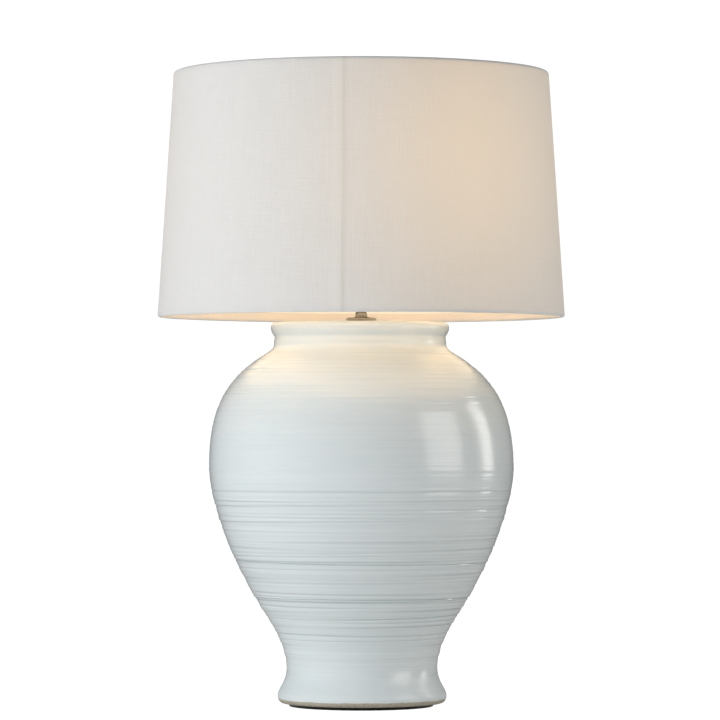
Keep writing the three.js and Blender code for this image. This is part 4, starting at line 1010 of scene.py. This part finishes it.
def make_floor():
    """A pale sweep: it bounces a little light and is seen almost white."""
    mesh = bpy.data.meshes.new("floor")
    size = 40
    corners = [(-size, -size, 0), (size, -size, 0), (size, size, 0), (-size, size, 0)]
    mesh.from_pydata(corners, [], [(0, 1, 2, 3)])
    shader = Shader("pale_floor", Roughness=0.9, Base_Color=(0.8, 0.8, 0.8))
    seen = shader.node("LightPath").outputs["Is Camera Ray"]
    shader.set(Emission_Color=(1, 1, 1), Emission_Strength=shader.math("MULTIPLY", seen, 0.93))
    mesh.materials.append(shader.material)
    floor = bpy.data.objects.new("floor", mesh)
    floor.location.z = cad_low.z
    scene.collection.objects.link(floor)


def make_studio():
    world = bpy.data.worlds.new("studio")
    scene.world = world
    world.use_nodes = True
    tree = world.node_tree
    room = tree.nodes["Background"]
    room.inputs["Color"].default_value = (0.93, 0.96, 1.0, 1)
    room.inputs["Strength"].default_value = 0.18
    seen = tree.nodes.new("ShaderNodeBackground")
    seen.inputs["Color"].default_value = (1, 1, 1, 1)
    seen.inputs["Strength"].default_value = 1.05
    blend = tree.nodes.new("ShaderNodeMixShader")
    path = tree.nodes.new("ShaderNodeLightPath")
    tree.links.new(path.outputs["Is Camera Ray"], blend.inputs[0])
    tree.links.new(room.outputs[0], blend.inputs[1])
    tree.links.new(seen.outputs[0], blend.inputs[2])
    tree.links.new(blend.outputs[0], tree.nodes["World Output"].inputs[0])
    belly = (0, 0, 0.3)
    scrim = area_light("scrim_left", (-2.42, -1.12, 0.62), belly, 2.6, 2.0, 58, (0.97, 0.985, 1.0))
    scrim.visible_glossy = False
    area_light("window_right", (1.42, -0.72, 0.62), belly, 0.86, 1.15, 4.2, (1.0, 0.96, 0.9))
    shine = area_light("window_shine", (1.43, -0.73, 0.62), belly, 0.86, 1.15, 4.2, (1.0, 0.98, 0.95))
    shine.visible_diffuse = False
    low_fill = area_light("low_fill", (-0.1, -1.5, 0.12), (0, 0, 0.07), 0.9, 0.2, 3.8, (0.98, 0.99, 1.0))
    low_fill.visible_glossy = False
    area_light("strip_right", (1.5, 0.42, 0.6), belly, 0.36, 1.0, 4.2, (1.0, 0.97, 0.93))


def make_camera():
    data = bpy.data.cameras.new("camera")
    data.lens, data.sensor_width = 202.5, 36
    data.clip_end = 200
    camera = bpy.data.objects.new("camera", data)
    aside = -1.3 * MM
    camera.location = (aside, -4.48, 0.308)
    aim = Vector((aside, 0, 0.382)) - camera.location
    camera.rotation_euler = aim.to_track_quat("-Z", "Y").to_euler()
    scene.collection.objects.link(camera)
    scene.camera = camera
    scene.view_settings.view_transform = "Standard"


def dress_cad_nodes(materials):
    """The CAD nodes that stay get the material of their slot."""
    for entry in frame["record"]["subparts"]:
        node = frame["nodes"].get(entry["node"])
        if node is not None and entry["material_slot"] in materials:
            for place in node.material_slots:
                place.material = materials[entry["material_slot"]]


make_camera()
make_floor()
make_studio()
nickel = nickel_material()
# Painted reflection: the neck's nickel is darkened to stand in for the dark surroundings it reflects.
nickel_painted_dark_reflection = nickel_material("nickel_painted_dark_reflection", (0.36, 0.33, 0.29), 0.03)
brass = nickel_material("satin_brass", (0.78, 0.56, 0.26), 0.24)
zinc = nickel_material("zinc_plate", (0.60, 0.61, 0.63), 0.3)
rubber = moulded_material("black_rubber", (0.02, 0.02, 0.02), (0.035, 0.034, 0.033), 0.6, 500.0, 0.08)
plastic = moulded_material("white_moulding", (0.86, 0.85, 0.82), (0.80, 0.79, 0.755), 0.35)
opal = opal_material()
felt = felt_material()
materials = {
    "nickel": nickel,
    "brass": brass,
    "zinc": zinc,
    "rubber": rubber,
    "plastic": plastic,
    "opal": opal,
    "felt": felt,
    "porcelain": moulded_material("glazed_porcelain", (0.84, 0.82, 0.77), (0.77, 0.75, 0.70), 0.3, 260.0),
    "card": moulded_material("insulating_card", (0.36, 0.27, 0.18), (0.27, 0.20, 0.13), 0.85, 700.0, 0.12),
    "black_glass": moulded_material(
        "black_insulator", (0.012, 0.011, 0.016), (0.03, 0.028, 0.035), 0.15, 200.0),
    "board": moulded_material("board_white", (0.80, 0.80, 0.76), (0.70, 0.71, 0.66), 0.5, 300.0),
}
dress_cad_nodes(materials)
make_vase()
make_shade_cover()
make_liner()
make_spider(nickel)
make_bottom_ring(nickel)
make_neck(nickel_painted_dark_reflection, nickel)
make_nut("saddle_nut_hex", "saddle_nut", nickel, 5.1 * MM)
make_nut("base_nut_hex", "base_nut", zinc, 5.1 * MM)
make_harp(nickel)
make_finial(nickel)
make_lampholder(brass)
make_bulb(plastic, opal)
make_foot(felt, rubber)
